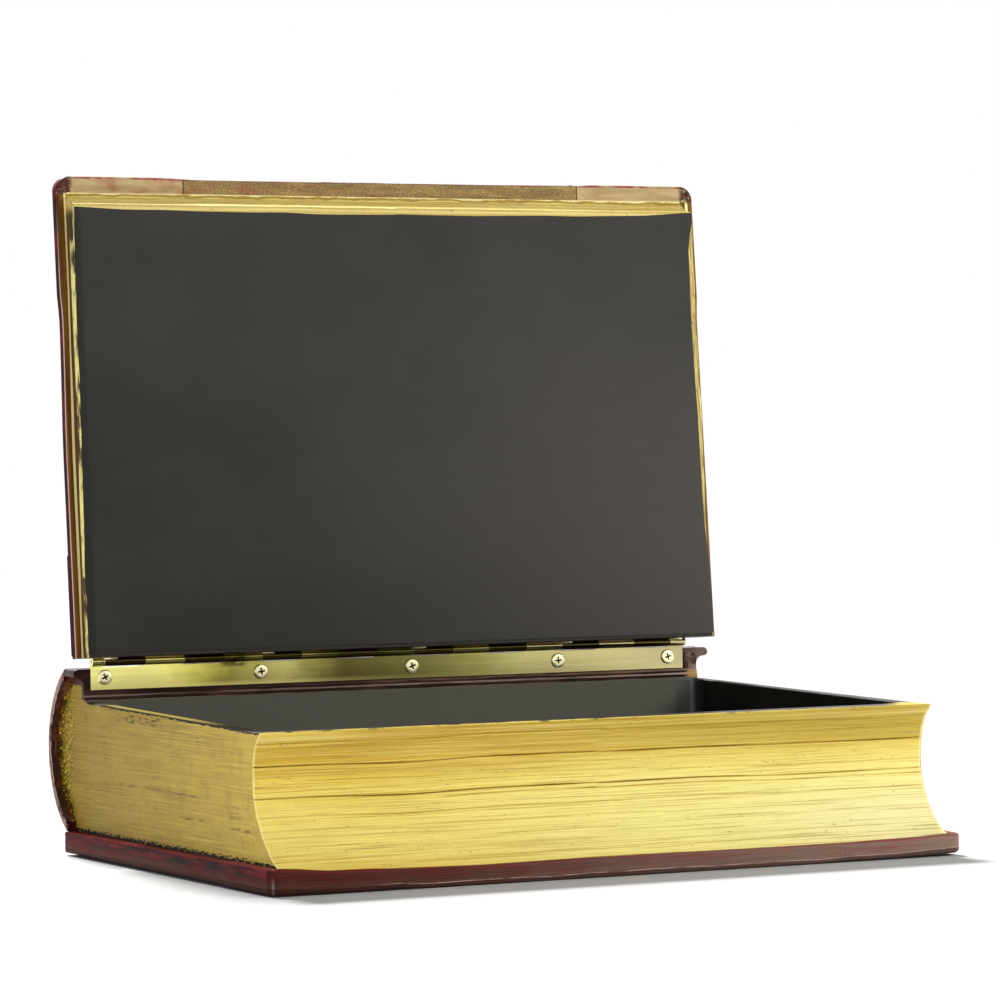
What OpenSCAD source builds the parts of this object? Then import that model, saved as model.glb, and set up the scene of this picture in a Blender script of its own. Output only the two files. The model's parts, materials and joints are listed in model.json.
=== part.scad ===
// Book box: a hinged box for papers and keepsakes, dressed as an old half-leather book.
// Millimetres. X runs along the spine, Y from the fore-edge to the spine, Z up.
// The origin is the centre of the lower board's outline, on the surface that the box stands on.

/* [Page block] */
// Length of the page block along the spine
block_len = 264; // [200:1:320]
// Inside depth of the box from fore-edge to hinge wall
cavity_depth = 161.5; // [120:0.5:220]
// Thickness of the two end walls
end_wall_t = 5; // [4:0.5:9]
// Height of the rim above the lower board at the fore-edge
rim_front_h = 45.5; // [30:0.5:70]
// Height of the rim above the lower board at the hinge wall
rim_rear_h = 49.3; // [44:0.1:74]
// How far the hollow of the fore-edge reaches behind its foot
cove_depth = 19.2; // [15:0.2:24]
// How far the rim lies behind the foot of the fore-edge
rim_setback = 12.2; // [8:0.2:14]
// Wood left behind the deepest point of the fore-edge
cove_wall = 3.5; // [3:0.5:8]
// Thickness of the floor panel inside
floor_t = 3; // [2:0.5:6]
// Radius of the fillets in the upright inside corners
corner_cove_r = 8; // [4:0.5:14]

/* [Boards] */
// Thickness of the lower board
base_t = 8; // [5:0.5:12]
// How far the lower board stands past the pages at the fore-edge
base_square = 3; // [2:0.5:6]
// How far the lower board stands past the pages at the ends
base_end_square = 4; // [2:0.5:6]
// How far the lower board stands past the foot of the spine
base_back_lip = 1.3; // [0.5:0.1:3]
// Plan radius of the lower board's front corners
base_corner_r = 4; // [2:0.5:8]
// Thickness of the felt under the lower board
felt_t = 1; // [0.8:0.1:2]
// Distance of the felt from the edge of the lower board
felt_inset = 5; // [3:0.5:12]
// Thickness of the lid board
lid_board_t = 5; // [4.6:0.1:8]
// How far the lid board stands past the lid's pages at the ends
lid_square = 4; // [2:0.1:6]
// How far the lid board stands past the lid's pages at the fore-edge
lid_front_square = 5.1; // [3:0.1:8]
// How far the whole lid sits to the left of the page block
lid_shift = 2; // [0:0.5:2.5]
// How far the front of the lid's pages lies behind the rim of the fore-edge
lid_setback = 2.6; // [0.1:0.1:4]
// Plan radius of the lid board's front corners
lid_corner_r = 5; // [2:0.5:8]
// Thickness of the lid's page layer at the hinge, with its lining
lid_page_t = 6.2; // [5:0.1:7.1]
// How far the lid's pages flare forward between lining and board
lid_flare = 5.9; // [3:0.1:8]
// Radius of that flare
lid_flare_r = 20; // [16:1:40]
// Thickness of the dark lining of the lid
lining_t = 0.8; // [0.5:0.1:1.5]
// Gilt margin left beside and behind the lining
lining_margin = 1.2; // [0.8:0.1:4]
// Gilt margin left in front of the lining
lining_front_margin = 2.6; // [0.8:0.1:6]

/* [Leather] */
// Thickness of the leather corner patches and of the lid's spine strip
leather_t = 0.5; // [0.3:0.1:0.8]
// Length of a corner patch along each edge
patch_leg = 48; // [25:1:70]
// Width of the spine leather on the lid's outer face
spine_strip_w = 38; // [20:1:60]

/* [Spine] */
// Height of the spine and of the hinge wall above the lower board
spine_h = 61.7; // [56:0.1:86]
// Thickness of the hinge wall
hinge_wall_t = 11; // [8.5:0.5:16]
// How far the raised part of that wall ends inside the right end of the pages
wall_end_inset = 2; // [0:0.1:4]
// Width of the ledge in front of the hinge wall that the lid closes on
ledge_w = 3.1; // [2.8:0.1:6]
// Height of each small step between that ledge and the hinge leaf
ledge_step_h = 1.3; // [0.8:0.1:1.3]
// Depth of each of those steps
ledge_step_d = 0.4; // [0.2:0.1:0.4]
// How far the spine rounds out behind the hinge wall
spine_bulge = 19; // [12:0.5:26]
// How far the spine cover stands past the pages at the ends
cover_square = 4; // [2:0.1:6]
// Thickness of the spine cover
shell_t = 4.5; // [3:0.5:7]
// Thickness of the fixed cover strip over the hinge wall
strip_t = 1.8; // [1.2:0.1:1.8]
// Thickness of that strip where it stands past the ends
strip_end_t = 3.4; // [2:0.1:5]
// How far the strip's right end stops short of the spine cover's end
strip_end_inset = 0.8; // [0:0.1:1.5]
// Radius of the fillet under the strip's ends
strip_cove_r = 3; // [1:0.5:3.5]
// Number of raised bands on the spine
band_count = 5; // [3:1:7]
// Distance from band to band
band_pitch = 45; // [30:1:50]
// Height of a raised band
band_h = 2; // [1:0.1:2.2]
// Width of a raised band
band_w = 7; // [5:0.5:10]
// Distance of a band's ends from the hinge wall's back
band_end_gap = 3.4; // [3.4:0.1:8]

/* [Hinge] */
// Outer radius of the hinge knuckles
knuckle_r = 1.9; // [1.6:0.1:2.4]
// Radius of the hinge pin
pin_r = 0.8; // [0.6:0.05:1]
// Thickness of a hinge leaf
leaf_t = 0.9; // [0.7:0.05:1]
// Distance from the hinge axis to the free edge of a leaf
leaf_w = 10.8; // [9.5:0.1:11]
// Gap between the page block's left end and the hinge
leaf_gap_left = 3; // [2:0.5:10]
// Gap between the page block's right end and the hinge
leaf_gap_right = 8; // [2:0.5:14]
// Distance from one knuckle to the next
knuckle_pitch = 16.05; // [12:0.05:20]
// Length of the cut first knuckle
first_knuckle = 5; // [4:0.5:12]
// Height of the knuckles' underside above the cover strip
barrel_rise = 0.9; // [0.9:0.1:2]
// How far the lid stands open at rest, measured from closed
open_angle = 94.7; // [0:0.1:180]

/* [Screws] */
// Radius of a screw head
head_r = 2.5; // [2:0.1:2.8]
// Height of a screw head
head_h = 0.7; // [0.5:0.05:0.75]
// Radius of a screw shank
shank_r = 1.1; // [0.8:0.05:1.2]
// Length of a screw below its head
shank_len = 7; // [5:0.5:7.5]
// Height of the screws above the leaf's free edge
screw_up = 4.7; // [3.5:0.1:5.5]
// Distance of the first screw from the hinge's left end
screw_first = 5.7; // [4:0.1:12]
// Distance from screw to screw
screw_pitch = 63.7; // [40:0.1:80]
// Distance of the last screw from the hinge's right end
screw_last = 7; // [4:0.1:12]

/* [Hidden] */
$fn = 96;

// Clearances
glue_gap = 0.05;
lid_gap = 0.3;
pin_gap = 0.05;
knuckle_gap = 0.3;
knuckle_clear = 0.4;
rebate_clear = 0.2;
hole_gap = 0.1;
pilot_gap = 0.05;
cheek_proud = 0.4;
felt_clear = 1;
cove_drop = 0.5;
reach = 400;

// Heights
board_top = felt_t + base_t;
rim_front_z = board_top + rim_front_h;
rim_rear_z = board_top + rim_rear_h;
cover_z = rim_rear_z + lid_gap + lid_page_t;
lid_top_z = cover_z + lid_board_t;
top_z = board_top + spine_h;
axis_z = top_z + barrel_rise + knuckle_r;
leaf_z = axis_z - leaf_w;
screw_z = leaf_z + screw_up;
spine_cz = (board_top + top_z) / 2;

// Depths, from the lower board's front edge at y_front to its back edge
leaf_back = knuckle_r;
wall_face = leaf_back - leaf_t - cheek_proud;
cavity_front = base_square + cove_depth + cove_wall;
cavity_rear = cavity_front + cavity_depth;
wall_front = cavity_rear + ledge_w;
wall_back = wall_front + hinge_wall_t;
base_depth = wall_back + base_back_lip;
y_front = -base_depth / 2;
foot_y = y_front + base_square;
rim_y = foot_y + rim_setback;
cav_y0 = y_front + cavity_front;
cav_y1 = y_front + cavity_rear;
face_y = y_front + wall_front;
back_y = y_front + wall_back;
axis_y = face_y - wall_face;
lid_rear_y = axis_y - knuckle_r + leaf_t;
lid_inner_y = rim_y + lid_setback;
lid_flare_y = lid_inner_y - lid_flare;
lid_front_y = lid_flare_y - lid_front_square;
base_back_y = y_front + base_depth;

// Lengths
base_len = block_len + 2 * base_end_square;
cover_len = block_len + 2 * cover_square;
lid_len = block_len + 2 * lid_square;
leaf_x0 = -block_len / 2 + leaf_gap_left;
leaf_len = block_len - leaf_gap_left - leaf_gap_right;
full_knuckles = floor((leaf_len - 1.6 * first_knuckle) / knuckle_pitch);
screw_count = floor((leaf_len - screw_first - screw_last - 4 * head_r) / screw_pitch) + 1;
screw_xs = [for (i = [0 : screw_count - 1]) leaf_x0 + screw_first + i * screw_pitch,
    leaf_x0 + leaf_len - screw_last];

// The fore-edge is one arc: through its foot and its rim, and cove_depth deep
cove_share = rim_setback / cove_depth;
cove_up = (rim_front_h - sqrt((1 - cove_share) * (pow(rim_front_h, 2) + pow(rim_setback, 2))))
    / cove_share;
cove_r = (pow(cove_up, 2) + pow(cove_depth, 2)) / (2 * cove_depth);

// The spine is one arc over the height of the hinge wall
spine_half = (top_z - board_top) / 2;
spine_r = (pow(spine_half, 2) + pow(spine_bulge, 2)) / (2 * spine_bulge);
spine_cy = back_y + spine_bulge - spine_r;

// Height of the sloping rim at a depth y
function rim_z(y) = rim_front_z + (rim_rear_z - rim_front_z) * (y - rim_y) / (cav_y1 - rim_y);

// Centre of the circle of radius r through points a and b, on the left of the way from a to b
function arc_centre(a, b, r) =
    let (d = b - a, h = sqrt(r * r - (d * d) / 4)) (a + b) / 2 + h * [-d[1], d[0]] / norm(d);

// Start and end of knuckle i along the hinge
function knuckle_start(i) = i == 0 ? 0 : first_knuckle + (i - 1) * knuckle_pitch;
function knuckle_end(i) = i == full_knuckles + 1 ? leaf_len : first_knuckle + i * knuckle_pitch;

// Extrude a (Y, Z) section along X, centred
module along_x(len) {
    rotate([90, 0, 90]) linear_extrude(height = len, center = true) children();
}

// Turn the closed lid about the hinge axis to its rest pose
module lid_pose() {
    translate([0, axis_y, axis_z]) rotate([-open_angle, 0, 0]) translate([0, -axis_y, -axis_z])
        children();
}

// A board's outline: round front corners, square back ones, grown by a skin's thickness
module board_outline(len, y0, y1, r, grow = 0) {
    w = len / 2 + grow;
    translate([-w, y0 + r]) square([2 * w, y1 + grow - y0 - r]);
    translate([r + grow - w, y0 - grow]) square([2 * (w - r - grow), r + 2 * grow]);
    for (s = [-1, 1])
        translate([s * (w - r - grow), y0 + r]) circle(r + grow);
}

// A leather patch folded round a board's left front corner, cut away where the pages start
module corner_patch(len, y0, z0, t, r, page_y, page_z0, page_z1) {
    skin = leather_t;
    difference() {
        intersection() {
            translate([0, 0, z0 - skin]) linear_extrude(height = t + 2 * skin)
                board_outline(len, y0, y0 + 2 * patch_leg, r, skin);
            translate([-len / 2, y0, z0 - 2 * skin]) linear_extrude(height = t + 4 * skin)
                polygon([[-r, -r], [patch_leg + r, -r], [-r, patch_leg + r]]);
        }
        translate([0, 0, z0 - glue_gap]) linear_extrude(height = t + 2 * glue_gap)
            board_outline(len, y0, y0 + reach, r, glue_gap);
        translate([-block_len / 2 - hole_gap, page_y - hole_gap, page_z0])
            cube([block_len, reach, page_z1 - page_z0]);
    }
}

// Felt sheet that the box stands on, cut off at the corner patches
module base_felt() {
    cut = patch_leg + felt_clear - felt_inset;
    w = base_len / 2;
    color("#3a2a26") linear_extrude(height = felt_t) polygon([
        [cut - w, y_front + felt_inset], [w - cut, y_front + felt_inset],
        [w - felt_inset, y_front + cut], [w - felt_inset, base_back_y - felt_inset],
        [felt_inset - w, base_back_y - felt_inset], [felt_inset - w, y_front + cut]]);
}

// Lower cover board
module base_board() {
    color("#5a1a20") translate([0, 0, felt_t]) linear_extrude(height = base_t)
        board_outline(base_len, y_front, base_back_y, base_corner_r);
}

module base_corner_left() {
    color("#4a1d1c") corner_patch(base_len, y_front, felt_t, base_t, base_corner_r,
        foot_y, board_top, board_top + 2 * leather_t);
}

module base_corner_right() {
    mirror([1, 0, 0]) base_corner_left();
}

// Section of everything below the sloping rim
module under_rim(y0, y1, z0) {
    polygon([[y0, z0], [y1, z0], [y1, rim_z(y1)], [y0, rim_z(y0)]]);
}

// Hollowed fore-edge
module front_wall() {
    color("#c9ab3f") along_x(block_len) difference() {
        under_rim(foot_y, cav_y0, board_top);
        translate([foot_y + cove_depth - cove_r, board_top + cove_up]) circle(cove_r);
    }
}

// End wall, drawn on the left
module end_wall() {
    color("#a98f38") translate([(end_wall_t - block_len) / 2, 0, 0]) along_x(end_wall_t)
        under_rim(cav_y0, cav_y1, board_top);
}

module left_wall() {
    end_wall();
}

module right_wall() {
    mirror([1, 0, 0]) end_wall();
}

// Pilot holes for the screws of one leaf, drilled from the plane y = 0 towards +Y
module pilot_holes(y) {
    for (x = screw_xs)
        translate([x, y, screw_z]) rotate([-90, 0, 0])
            cylinder(r = shank_r + pilot_gap, h = shank_len + hole_gap + 1 - leaf_t, $fn = 32);
}

// Space that a leaf takes in its wall
module leaf_rebate(y0, y1) {
    translate([leaf_x0 - rebate_clear, y0, leaf_z - rebate_clear])
        cube([leaf_len + 2 * rebate_clear, y1 - y0, reach]);
}

// Raised rear wall with its stepped ledge, rebated for the leaf
module hinge_wall() {
    step_top = leaf_z - 1;
    color("#33191a") difference() {
        along_x(block_len) polygon([[cav_y1, board_top], [back_y, board_top],
            [back_y, top_z - strip_t], [face_y, top_z - strip_t], [face_y, step_top],
            [face_y - ledge_step_d, step_top], [face_y - ledge_step_d, step_top - ledge_step_h],
            [face_y - 2 * ledge_step_d, step_top - ledge_step_h],
            [face_y - 2 * ledge_step_d, rim_rear_z], [cav_y1, rim_rear_z]]);
        translate([block_len / 2 - wall_end_inset, cav_y1, rim_rear_z]) cube(reach);
        leaf_rebate(face_y - 1, axis_y + leaf_back);
        pilot_holes(axis_y + leaf_back - 1);
    }
}

// Floor panel
module cavity_floor() {
    color("#1d1c1b") translate([-block_len / 2 + end_wall_t, cav_y0, board_top])
        cube([block_len - 2 * end_wall_t, cavity_depth, floor_t]);
}

// Fillets in the four upright corners, cut off just below the rim
module corner_coves() {
    x = block_len / 2 - end_wall_t;
    r = corner_cove_r;
    color("#1d1c1b") intersection() {
        for (s = [-1, 1], t = [-1, 1]) {
            translate([s * x, t < 0 ? cav_y0 : cav_y1, board_top + floor_t])
                mirror([s > 0 ? 1 : 0, 0, 0]) mirror([0, t > 0 ? 1 : 0, 0])
                    linear_extrude(height = reach) difference() {
                        square(r);
                        translate([r, r]) circle(r);
                    }
        }
        translate([0, 0, -cove_drop]) along_x(block_len)
            under_rim(cav_y0, cav_y1, 0);
    }
}

// Rounded back of the pages, inside the spine
module spine_core() {
    color("#b3973a") along_x(block_len) intersection() {
        translate([spine_cy, spine_cz]) circle(spine_r - shell_t - glue_gap);
        translate([back_y, 0]) square([reach, reach]);
    }
}

// Curved cover of the spine
module spine_shell() {
    color("#431a1c") along_x(cover_len) intersection() {
        difference() {
            translate([spine_cy, spine_cz]) circle(spine_r);
            translate([spine_cy, spine_cz]) circle(spine_r - shell_t);
        }
        translate([back_y, board_top]) square([reach, top_z - board_top]);
    }
}

// Raised bands over the spine
module spine_bands() {
    r0 = spine_r + glue_gap;
    half = band_w / 2;
    bead_r = (pow(half, 2) + pow(band_h, 2)) / (2 * band_h);
    color("#3d1719") intersection() {
        for (i = [0 : band_count - 1])
            translate([(i - (band_count - 1) / 2) * band_pitch, spine_cy, spine_cz])
                rotate([0, 90, 0]) rotate_extrude() intersection() {
                    translate([r0 + band_h - bead_r, 0]) circle(bead_r, $fn = 48);
                    translate([r0, -band_w]) square([band_w, 2 * band_w]);
                }
        translate([-cover_len / 2, back_y + band_end_gap, board_top + lid_gap])
            cube([cover_len, reach, reach]);
    }
}

// Outline of the strip's end, standing out past the wall's end at x
module strip_end(x, out) {
    end_r = strip_end_t / 2;
    cove_w = min(strip_cove_r, out - end_r);
    translate([x, top_z - strip_end_t]) {
        square([out - end_r, strip_end_t]);
        translate([out - end_r, end_r]) circle(end_r, $fn = 48);
        difference() {
            translate([0, -strip_cove_r]) square([cove_w, strip_cove_r]);
            translate([strip_cove_r, -strip_cove_r]) circle(strip_cove_r, $fn = 48);
        }
    }
}

// Fixed strip of the cover over the hinge wall, with rounded and filleted ends
module joint_strip() {
    color("#3a1a1b") difference() {
        translate([0, back_y, 0]) rotate([90, 0, 0]) linear_extrude(height = hinge_wall_t) {
            translate([-block_len / 2, top_z - strip_t])
                square([block_len - wall_end_inset, strip_t]);
            mirror([1, 0]) strip_end(block_len / 2, cover_square);
            strip_end(block_len / 2 - wall_end_inset,
                cover_square + wall_end_inset - strip_end_inset);
        }
        leaf_rebate(face_y - 1, axis_y + leaf_back);
    }
}

// One leaf with its knuckles: kind 0 is the wall's leaf, kind 1 the lid's, its mirror image
module leaf(kind) {
    flip = kind == 0 ? 0 : 1;
    difference() {
        translate([leaf_x0, axis_y, 0]) mirror([0, flip, 0]) {
            difference() {
                translate([0, knuckle_r - leaf_t, leaf_z]) cube([leaf_len, leaf_t, leaf_w]);
                for (i = [0 : full_knuckles + 1])
                    if (i % 2 != kind)
                        translate([knuckle_start(i) - (i == 0 ? 1 : 0), 0,
                            axis_z - knuckle_r - knuckle_clear])
                            cube([knuckle_end(i) - knuckle_start(i)
                                + (i == 0 || i == full_knuckles + 1 ? 1 : 0), reach, reach]);
            }
            for (i = [0 : full_knuckles + 1])
                if (i % 2 == kind)
                    translate([knuckle_start(i) + (i == 0 ? 0 : knuckle_gap), 0, axis_z])
                        rotate([0, 90, 0]) cylinder(r = knuckle_r,
                            h = knuckle_end(i) - knuckle_start(i) - (i == 0 ? 0 : knuckle_gap));
        }
        translate([leaf_x0 - 1, axis_y, axis_z]) rotate([0, 90, 0])
            cylinder(r = pin_r + pin_gap, h = leaf_len + 2);
        for (x = screw_xs)
            translate([x, axis_y, screw_z]) rotate([90, 0, 0])
                cylinder(r = shank_r + hole_gap, h = 4 * knuckle_r, center = true, $fn = 32);
    }
}

module body_leaf() {
    color("#c8b25a") leaf(0);
}

module hinge_pin() {
    color("#8f8a78") translate([leaf_x0, axis_y, axis_z]) rotate([0, 90, 0])
        cylinder(r = pin_r, h = leaf_len);
}

// One cross-head screw, its head's underside at z = 0 and its shank pointing down
module screw() {
    cross = 0.5;
    difference() {
        union() {
            cylinder(r = head_r, h = 0.4 * head_h, $fn = 48);
            translate([0, 0, 0.4 * head_h])
                cylinder(r1 = head_r, r2 = 0.66 * head_r, h = 0.6 * head_h, $fn = 48);
            translate([0, 0, -0.75 * shank_len]) cylinder(r = shank_r, h = 0.75 * shank_len + 0.1,
                $fn = 32);
            translate([0, 0, -shank_len])
                cylinder(r1 = 0.2, r2 = shank_r, h = 0.25 * shank_len, $fn = 32);
        }
        for (a = [0, 90])
            rotate([0, 0, a]) translate([-0.6 * head_r, -cross / 2, 0.3 * head_h])
                cube([1.2 * head_r, cross, head_h]);
    }
}

module body_screws() {
    color("#d8c27a") for (x = screw_xs)
        translate([x, axis_y + knuckle_r - leaf_t, screw_z]) rotate([90, 0, 0]) screw();
}

// Lid board with the rebate for its hinge leaf
module lid_board() {
    color("#4a181c") lid_pose() difference() {
        translate([-lid_shift, 0, cover_z]) linear_extrude(height = lid_board_t)
            board_outline(lid_len, lid_front_y, lid_rear_y, lid_corner_r);
        leaf_rebate(axis_y - knuckle_r, axis_y);
        translate([0, 2 * (axis_y - knuckle_r), 0]) mirror([0, 1, 0])
            pilot_holes(axis_y - knuckle_r - 1);
    }
}

// Patch on the lid's left front corner, in the closed pose
module lid_patch() {
    color("#43201c") corner_patch(lid_len, lid_front_y, cover_z, lid_board_t, lid_corner_r,
        lid_flare_y, cover_z - 2 * leather_t, cover_z);
}

module lid_corner_left() {
    lid_pose() translate([-lid_shift, 0, 0]) lid_patch();
}

module lid_corner_right() {
    lid_pose() translate([-lid_shift, 0, 0]) mirror([1, 0, 0]) lid_patch();
}

// Spine leather carried on to the lid's outer face
module lid_spine_leather() {
    y1 = axis_y - knuckle_r - hole_gap;
    color("#3d1719") lid_pose()
        translate([-lid_len / 2 - lid_shift, y1 - spine_strip_w, lid_top_z])
            cube([lid_len, spine_strip_w, leather_t]);
}

// Underside of the lid's pages at a depth y, held lid_gap above the rim
function lid_under_z(y) = rim_z(y) + lid_gap;

// Section of the lid's pages from a height above their underside up to the board
module lid_section(y0, y1, up = 0) {
    polygon([[y0, lid_under_z(y0) + up], [y1, lid_under_z(y1) + up], [y1, cover_z],
        [y0, cover_z]]);
}

// Space of the lining in the lid's pages, grown by a gap on every side
module lining_space(gap) {
    translate([-lid_shift, 0, 0]) along_x(block_len - 2 * lining_margin + 2 * gap) difference() {
        lid_section(lid_inner_y + lining_front_margin - gap, lid_rear_y - lining_margin + gap);
        lid_section(lid_inner_y, lid_rear_y, lining_t + gap);
    }
}

// Gilt wedge of pages under the lid board
module lid_page_layer() {
    inner = [lid_inner_y, lid_under_z(lid_inner_y)];
    outer = [lid_flare_y, cover_z];
    color("#b89a3c") lid_pose() difference() {
        translate([-lid_shift, 0, 0]) along_x(block_len) difference() {
            polygon([outer, inner, [lid_rear_y, lid_under_z(lid_rear_y)], [lid_rear_y, cover_z]]);
            translate(arc_centre(inner, outer, lid_flare_r)) circle(lid_flare_r);
        }
        leaf_rebate(axis_y - knuckle_r, axis_y);
        lining_space(0);
    }
}

// Dark lining of the lid
module lid_lining() {
    color("#3d3a35") lid_pose() lining_space(-glue_gap);
}

module lid_leaf() {
    color("#c8b25a") lid_pose() leaf(1);
}

module lid_screws() {
    color("#d8c27a") lid_pose() for (x = screw_xs)
        translate([x, axis_y - knuckle_r + leaf_t, screw_z]) rotate([-90, 0, 0]) screw();
}

base_felt();
base_board();
base_corner_left();
base_corner_right();
front_wall();
left_wall();
right_wall();
hinge_wall();
cavity_floor();
corner_coves();
spine_core();
spine_shell();
spine_bands();
joint_strip();
body_leaf();
hinge_pin();
body_screws();
lid_board();
lid_corner_left();
lid_corner_right();
lid_spine_leather();
lid_page_layer();
lid_lining();
lid_leaf();
lid_screws();
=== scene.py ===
"""Looks for the book box: a hinged box for papers and keepsakes, dressed as an old half-leather book.

Shapes are worked out in millimetres and written in metres. The lid's pieces are worked out
closed, then turned about the hinge to the pose that the frame holds.
"""
import json
import math

import bpy
import numpy as np
from mathutils import Matrix, Vector

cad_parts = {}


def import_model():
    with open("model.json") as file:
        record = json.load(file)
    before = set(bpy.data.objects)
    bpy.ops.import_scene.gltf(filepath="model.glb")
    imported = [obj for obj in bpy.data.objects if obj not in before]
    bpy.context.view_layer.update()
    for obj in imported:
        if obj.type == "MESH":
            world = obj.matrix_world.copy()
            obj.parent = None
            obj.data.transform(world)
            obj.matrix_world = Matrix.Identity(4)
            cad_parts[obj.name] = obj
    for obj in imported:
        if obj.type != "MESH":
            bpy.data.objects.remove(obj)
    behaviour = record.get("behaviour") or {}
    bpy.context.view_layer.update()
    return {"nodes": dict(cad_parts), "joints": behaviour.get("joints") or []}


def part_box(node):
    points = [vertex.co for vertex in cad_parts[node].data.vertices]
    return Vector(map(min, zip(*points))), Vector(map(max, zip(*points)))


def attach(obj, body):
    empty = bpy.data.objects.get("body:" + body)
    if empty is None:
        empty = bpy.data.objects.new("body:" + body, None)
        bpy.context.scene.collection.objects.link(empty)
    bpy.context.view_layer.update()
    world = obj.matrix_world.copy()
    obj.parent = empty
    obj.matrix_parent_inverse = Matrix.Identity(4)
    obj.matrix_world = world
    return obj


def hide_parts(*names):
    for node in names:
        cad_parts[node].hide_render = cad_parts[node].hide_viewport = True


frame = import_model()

bl_info = {
    "name": "Book Box",
    "version": (1, 0, 0),
    "blender": (4, 5, 0),
    "location": "View3D > Sidebar > Book Box",
    "description": "Builds the looks of a hinged book box round its packed frame",
    "category": "Object",
}

MM = 0.001


# Frame sizes
def span(node):
    """Lowest and highest corner of a frame node, in millimetres."""
    lo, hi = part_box(node)
    return np.array(lo) / MM, np.array(hi) / MM


BASE_LO, BASE_HI = span("base_board")
FRONT_LO, FRONT_HI = span("front_wall")
SIDE_LO, SIDE_HI = span("left_wall")
SHELL_LO, SHELL_HI = span("spine_shell")
STRIP_LO, STRIP_HI = span("joint_strip")
LEAF_LO, LEAF_HI = span("body_leaf")
FELT_LO, FELT_HI = span("base_felt")

HALF = FRONT_HI[0]                 # half the length of the page block
BOARD_TOP = BASE_HI[2]
FOOT_Y = FRONT_LO[1]               # foot of the fore-edge
CAV_Y0, CAV_Y1 = FRONT_HI[1], SIDE_HI[1]
RIM_BACK = SIDE_HI[2]              # height of the rim at the hinge wall
RIM_SLOPE = (RIM_BACK - FRONT_HI[2]) / (CAV_Y1 - CAV_Y0)
BACK_Y = SHELL_LO[1]
TOP_Z = SHELL_HI[2]
FACE_Y = STRIP_LO[1]               # front face of the raised hinge wall
JOINT = frame["joints"][0]
AXIS_Y, AXIS_Z = JOINT["pos_m"][1] / MM, JOINT["pos_m"][2] / MM
OPEN = math.radians(-JOINT["range_deg"][0])
SIDES = ((-1, "left"), (1, "right"))

# Small fits, in millimetres
RIM_RISE = 0.2                     # how far the rim stands above its plane in front
LID_GAP = 0.3                      # between the rim and the closed lid's pages
LID_SKEW = 1.1                     # how far the lid's pages lean out to the left at the hinge
LID_SEAM = 3.8                     # how far the lid's leather corners run on past their leg
COVER = 1.8                        # thickness of the cover strip over the hinge wall
WALL_END = STRIP_HI[0] - 5.2       # right end of the raised hinge wall
REBATE_Y = LEAF_HI[1] + 0.02       # back of the leaf's seat in the wall
SEAT_LO, SEAT_HI = LEAF_LO[0] - 0.2, LEAF_HI[0] + 0.2
JUMP = 0.01                        # width of a step between two sections


def length(name, description, default):
    """A size property that is kept in metres."""
    return bpy.props.FloatProperty(name=name, description=description, default=default * MM,
                                   unit="LENGTH", precision=5)


def colour(name, description, default):
    """A colour property whose default is an sRGB hex value."""
    return bpy.props.FloatVectorProperty(name=name, description=description, subtype="COLOR",
                                         size=3, min=0, max=1, default=linear(default)[:3])


def linear(code):
    """The linear RGBA of an sRGB hex value."""
    parts = [int(code[i:i + 2], 16) / 255 for i in (1, 3, 5)]
    return tuple(c / 12.92 if c <= 0.04045 else ((c + 0.055) / 1.055) ** 2.4
                 for c in parts) + (1.0,)


class BookBoxSizes(bpy.types.PropertyGroup):
    rim_setback: length("Rim setback", "How far the rim lies behind the foot of the fore-edge",
                        12.2)
    cove_depth: length("Cove depth", "How far the hollow of the fore-edge reaches back", 19.2)
    page_cut: length("Page cuts", "Depth of the deep lines between gatherings of pages", 0.6)
    page_relief: length("Page relief", "Unevenness of the gilt page edges", 0.42)
    base_corner: length("Base corner", "Plan radius of the lower board's front corners", 4)
    board_edge: length("Board edge", "Radius along the edges of both boards", 0.9)
    patch_leg: length("Corner patch", "Length of a leather corner along each edge", 48)
    leather: length("Leather", "Thickness of the leather corners and strips", 0.5)
    lid_corner: length("Lid corner", "Plan radius of the lid's front corners", 5)
    lid_board: length("Lid board", "Thickness of the lid's board", 5)
    lid_pages: length("Lid pages", "Thickness of the lid's pages at the hinge", 6.2)
    lid_square: length("Lid overhang", "How far the lid's board stands past its pages", 4)
    lid_front: length("Lid front", "Width of the board's inner face in front of the pages", 5.1)
    lid_flare: length("Lid flare", "How far the lid's pages flare forward", 5.9)
    lid_setback: length("Lid setback", "How far the lid's pages start behind the rim", 2.6)
    lid_shift: length("Lid shift", "How far the lid sits to the left of the page block", 2)
    lining: length("Lining", "Thickness of the lid's lining", 0.8)
    margin: length("Gilt margin", "Gilt left beside the lining", 1.2)
    front_margin: length("Front margin", "Gilt left in front of the lining", 2.6)
    spine_strip: length("Spine strip", "Width of the spine leather on the lid", 38)
    band_height: length("Band height", "Height of a raised band on the spine", 2)
    head_radius: length("Screw head", "Radius of a screw's head", 2.85)


class BookBoxColours(bpy.types.PropertyGroup):
    # gilt_shade is painted shade: the ochre that darkens the cuts between pages
    gilt_shade: colour("Gilt shade", "Ochre in the lines between pages", "#a98a34")
    gilt_end: colour("Gilt ends", "Rubbed gilding on head and tail", "#c2a748")
    burgundy: colour("Burgundy", "Red clouds of the marbled leather", "#560f19")
    bark: colour("Bark brown", "Dark ground of the marbled leather", "#2e1713")
    tan: colour("Tan", "Rubbed leather turned in on the lid", "#a18650")
    black: colour("Black", "Paint inside the box", "#161616")
    lining: colour("Lining", "Painted lining of the lid", "#1c1a16")
    brass: colour("Brass", "Polished brass of the hinge", "#f3e48e")
    screw: colour("Screw brass", "Brass-plated screws", "#fff8d4")
    steel: colour("Steel", "Pin of the hinge", "#8f8c84")
    felt: colour("Felt", "Felt under the box", "#33241f")
    floor: colour("Floor", "Floor and backdrop", "#ffffff")


def size(name):
    """A user's size in millimetres."""
    return getattr(bpy.context.scene.book_box_sizes, name) / MM


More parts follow.
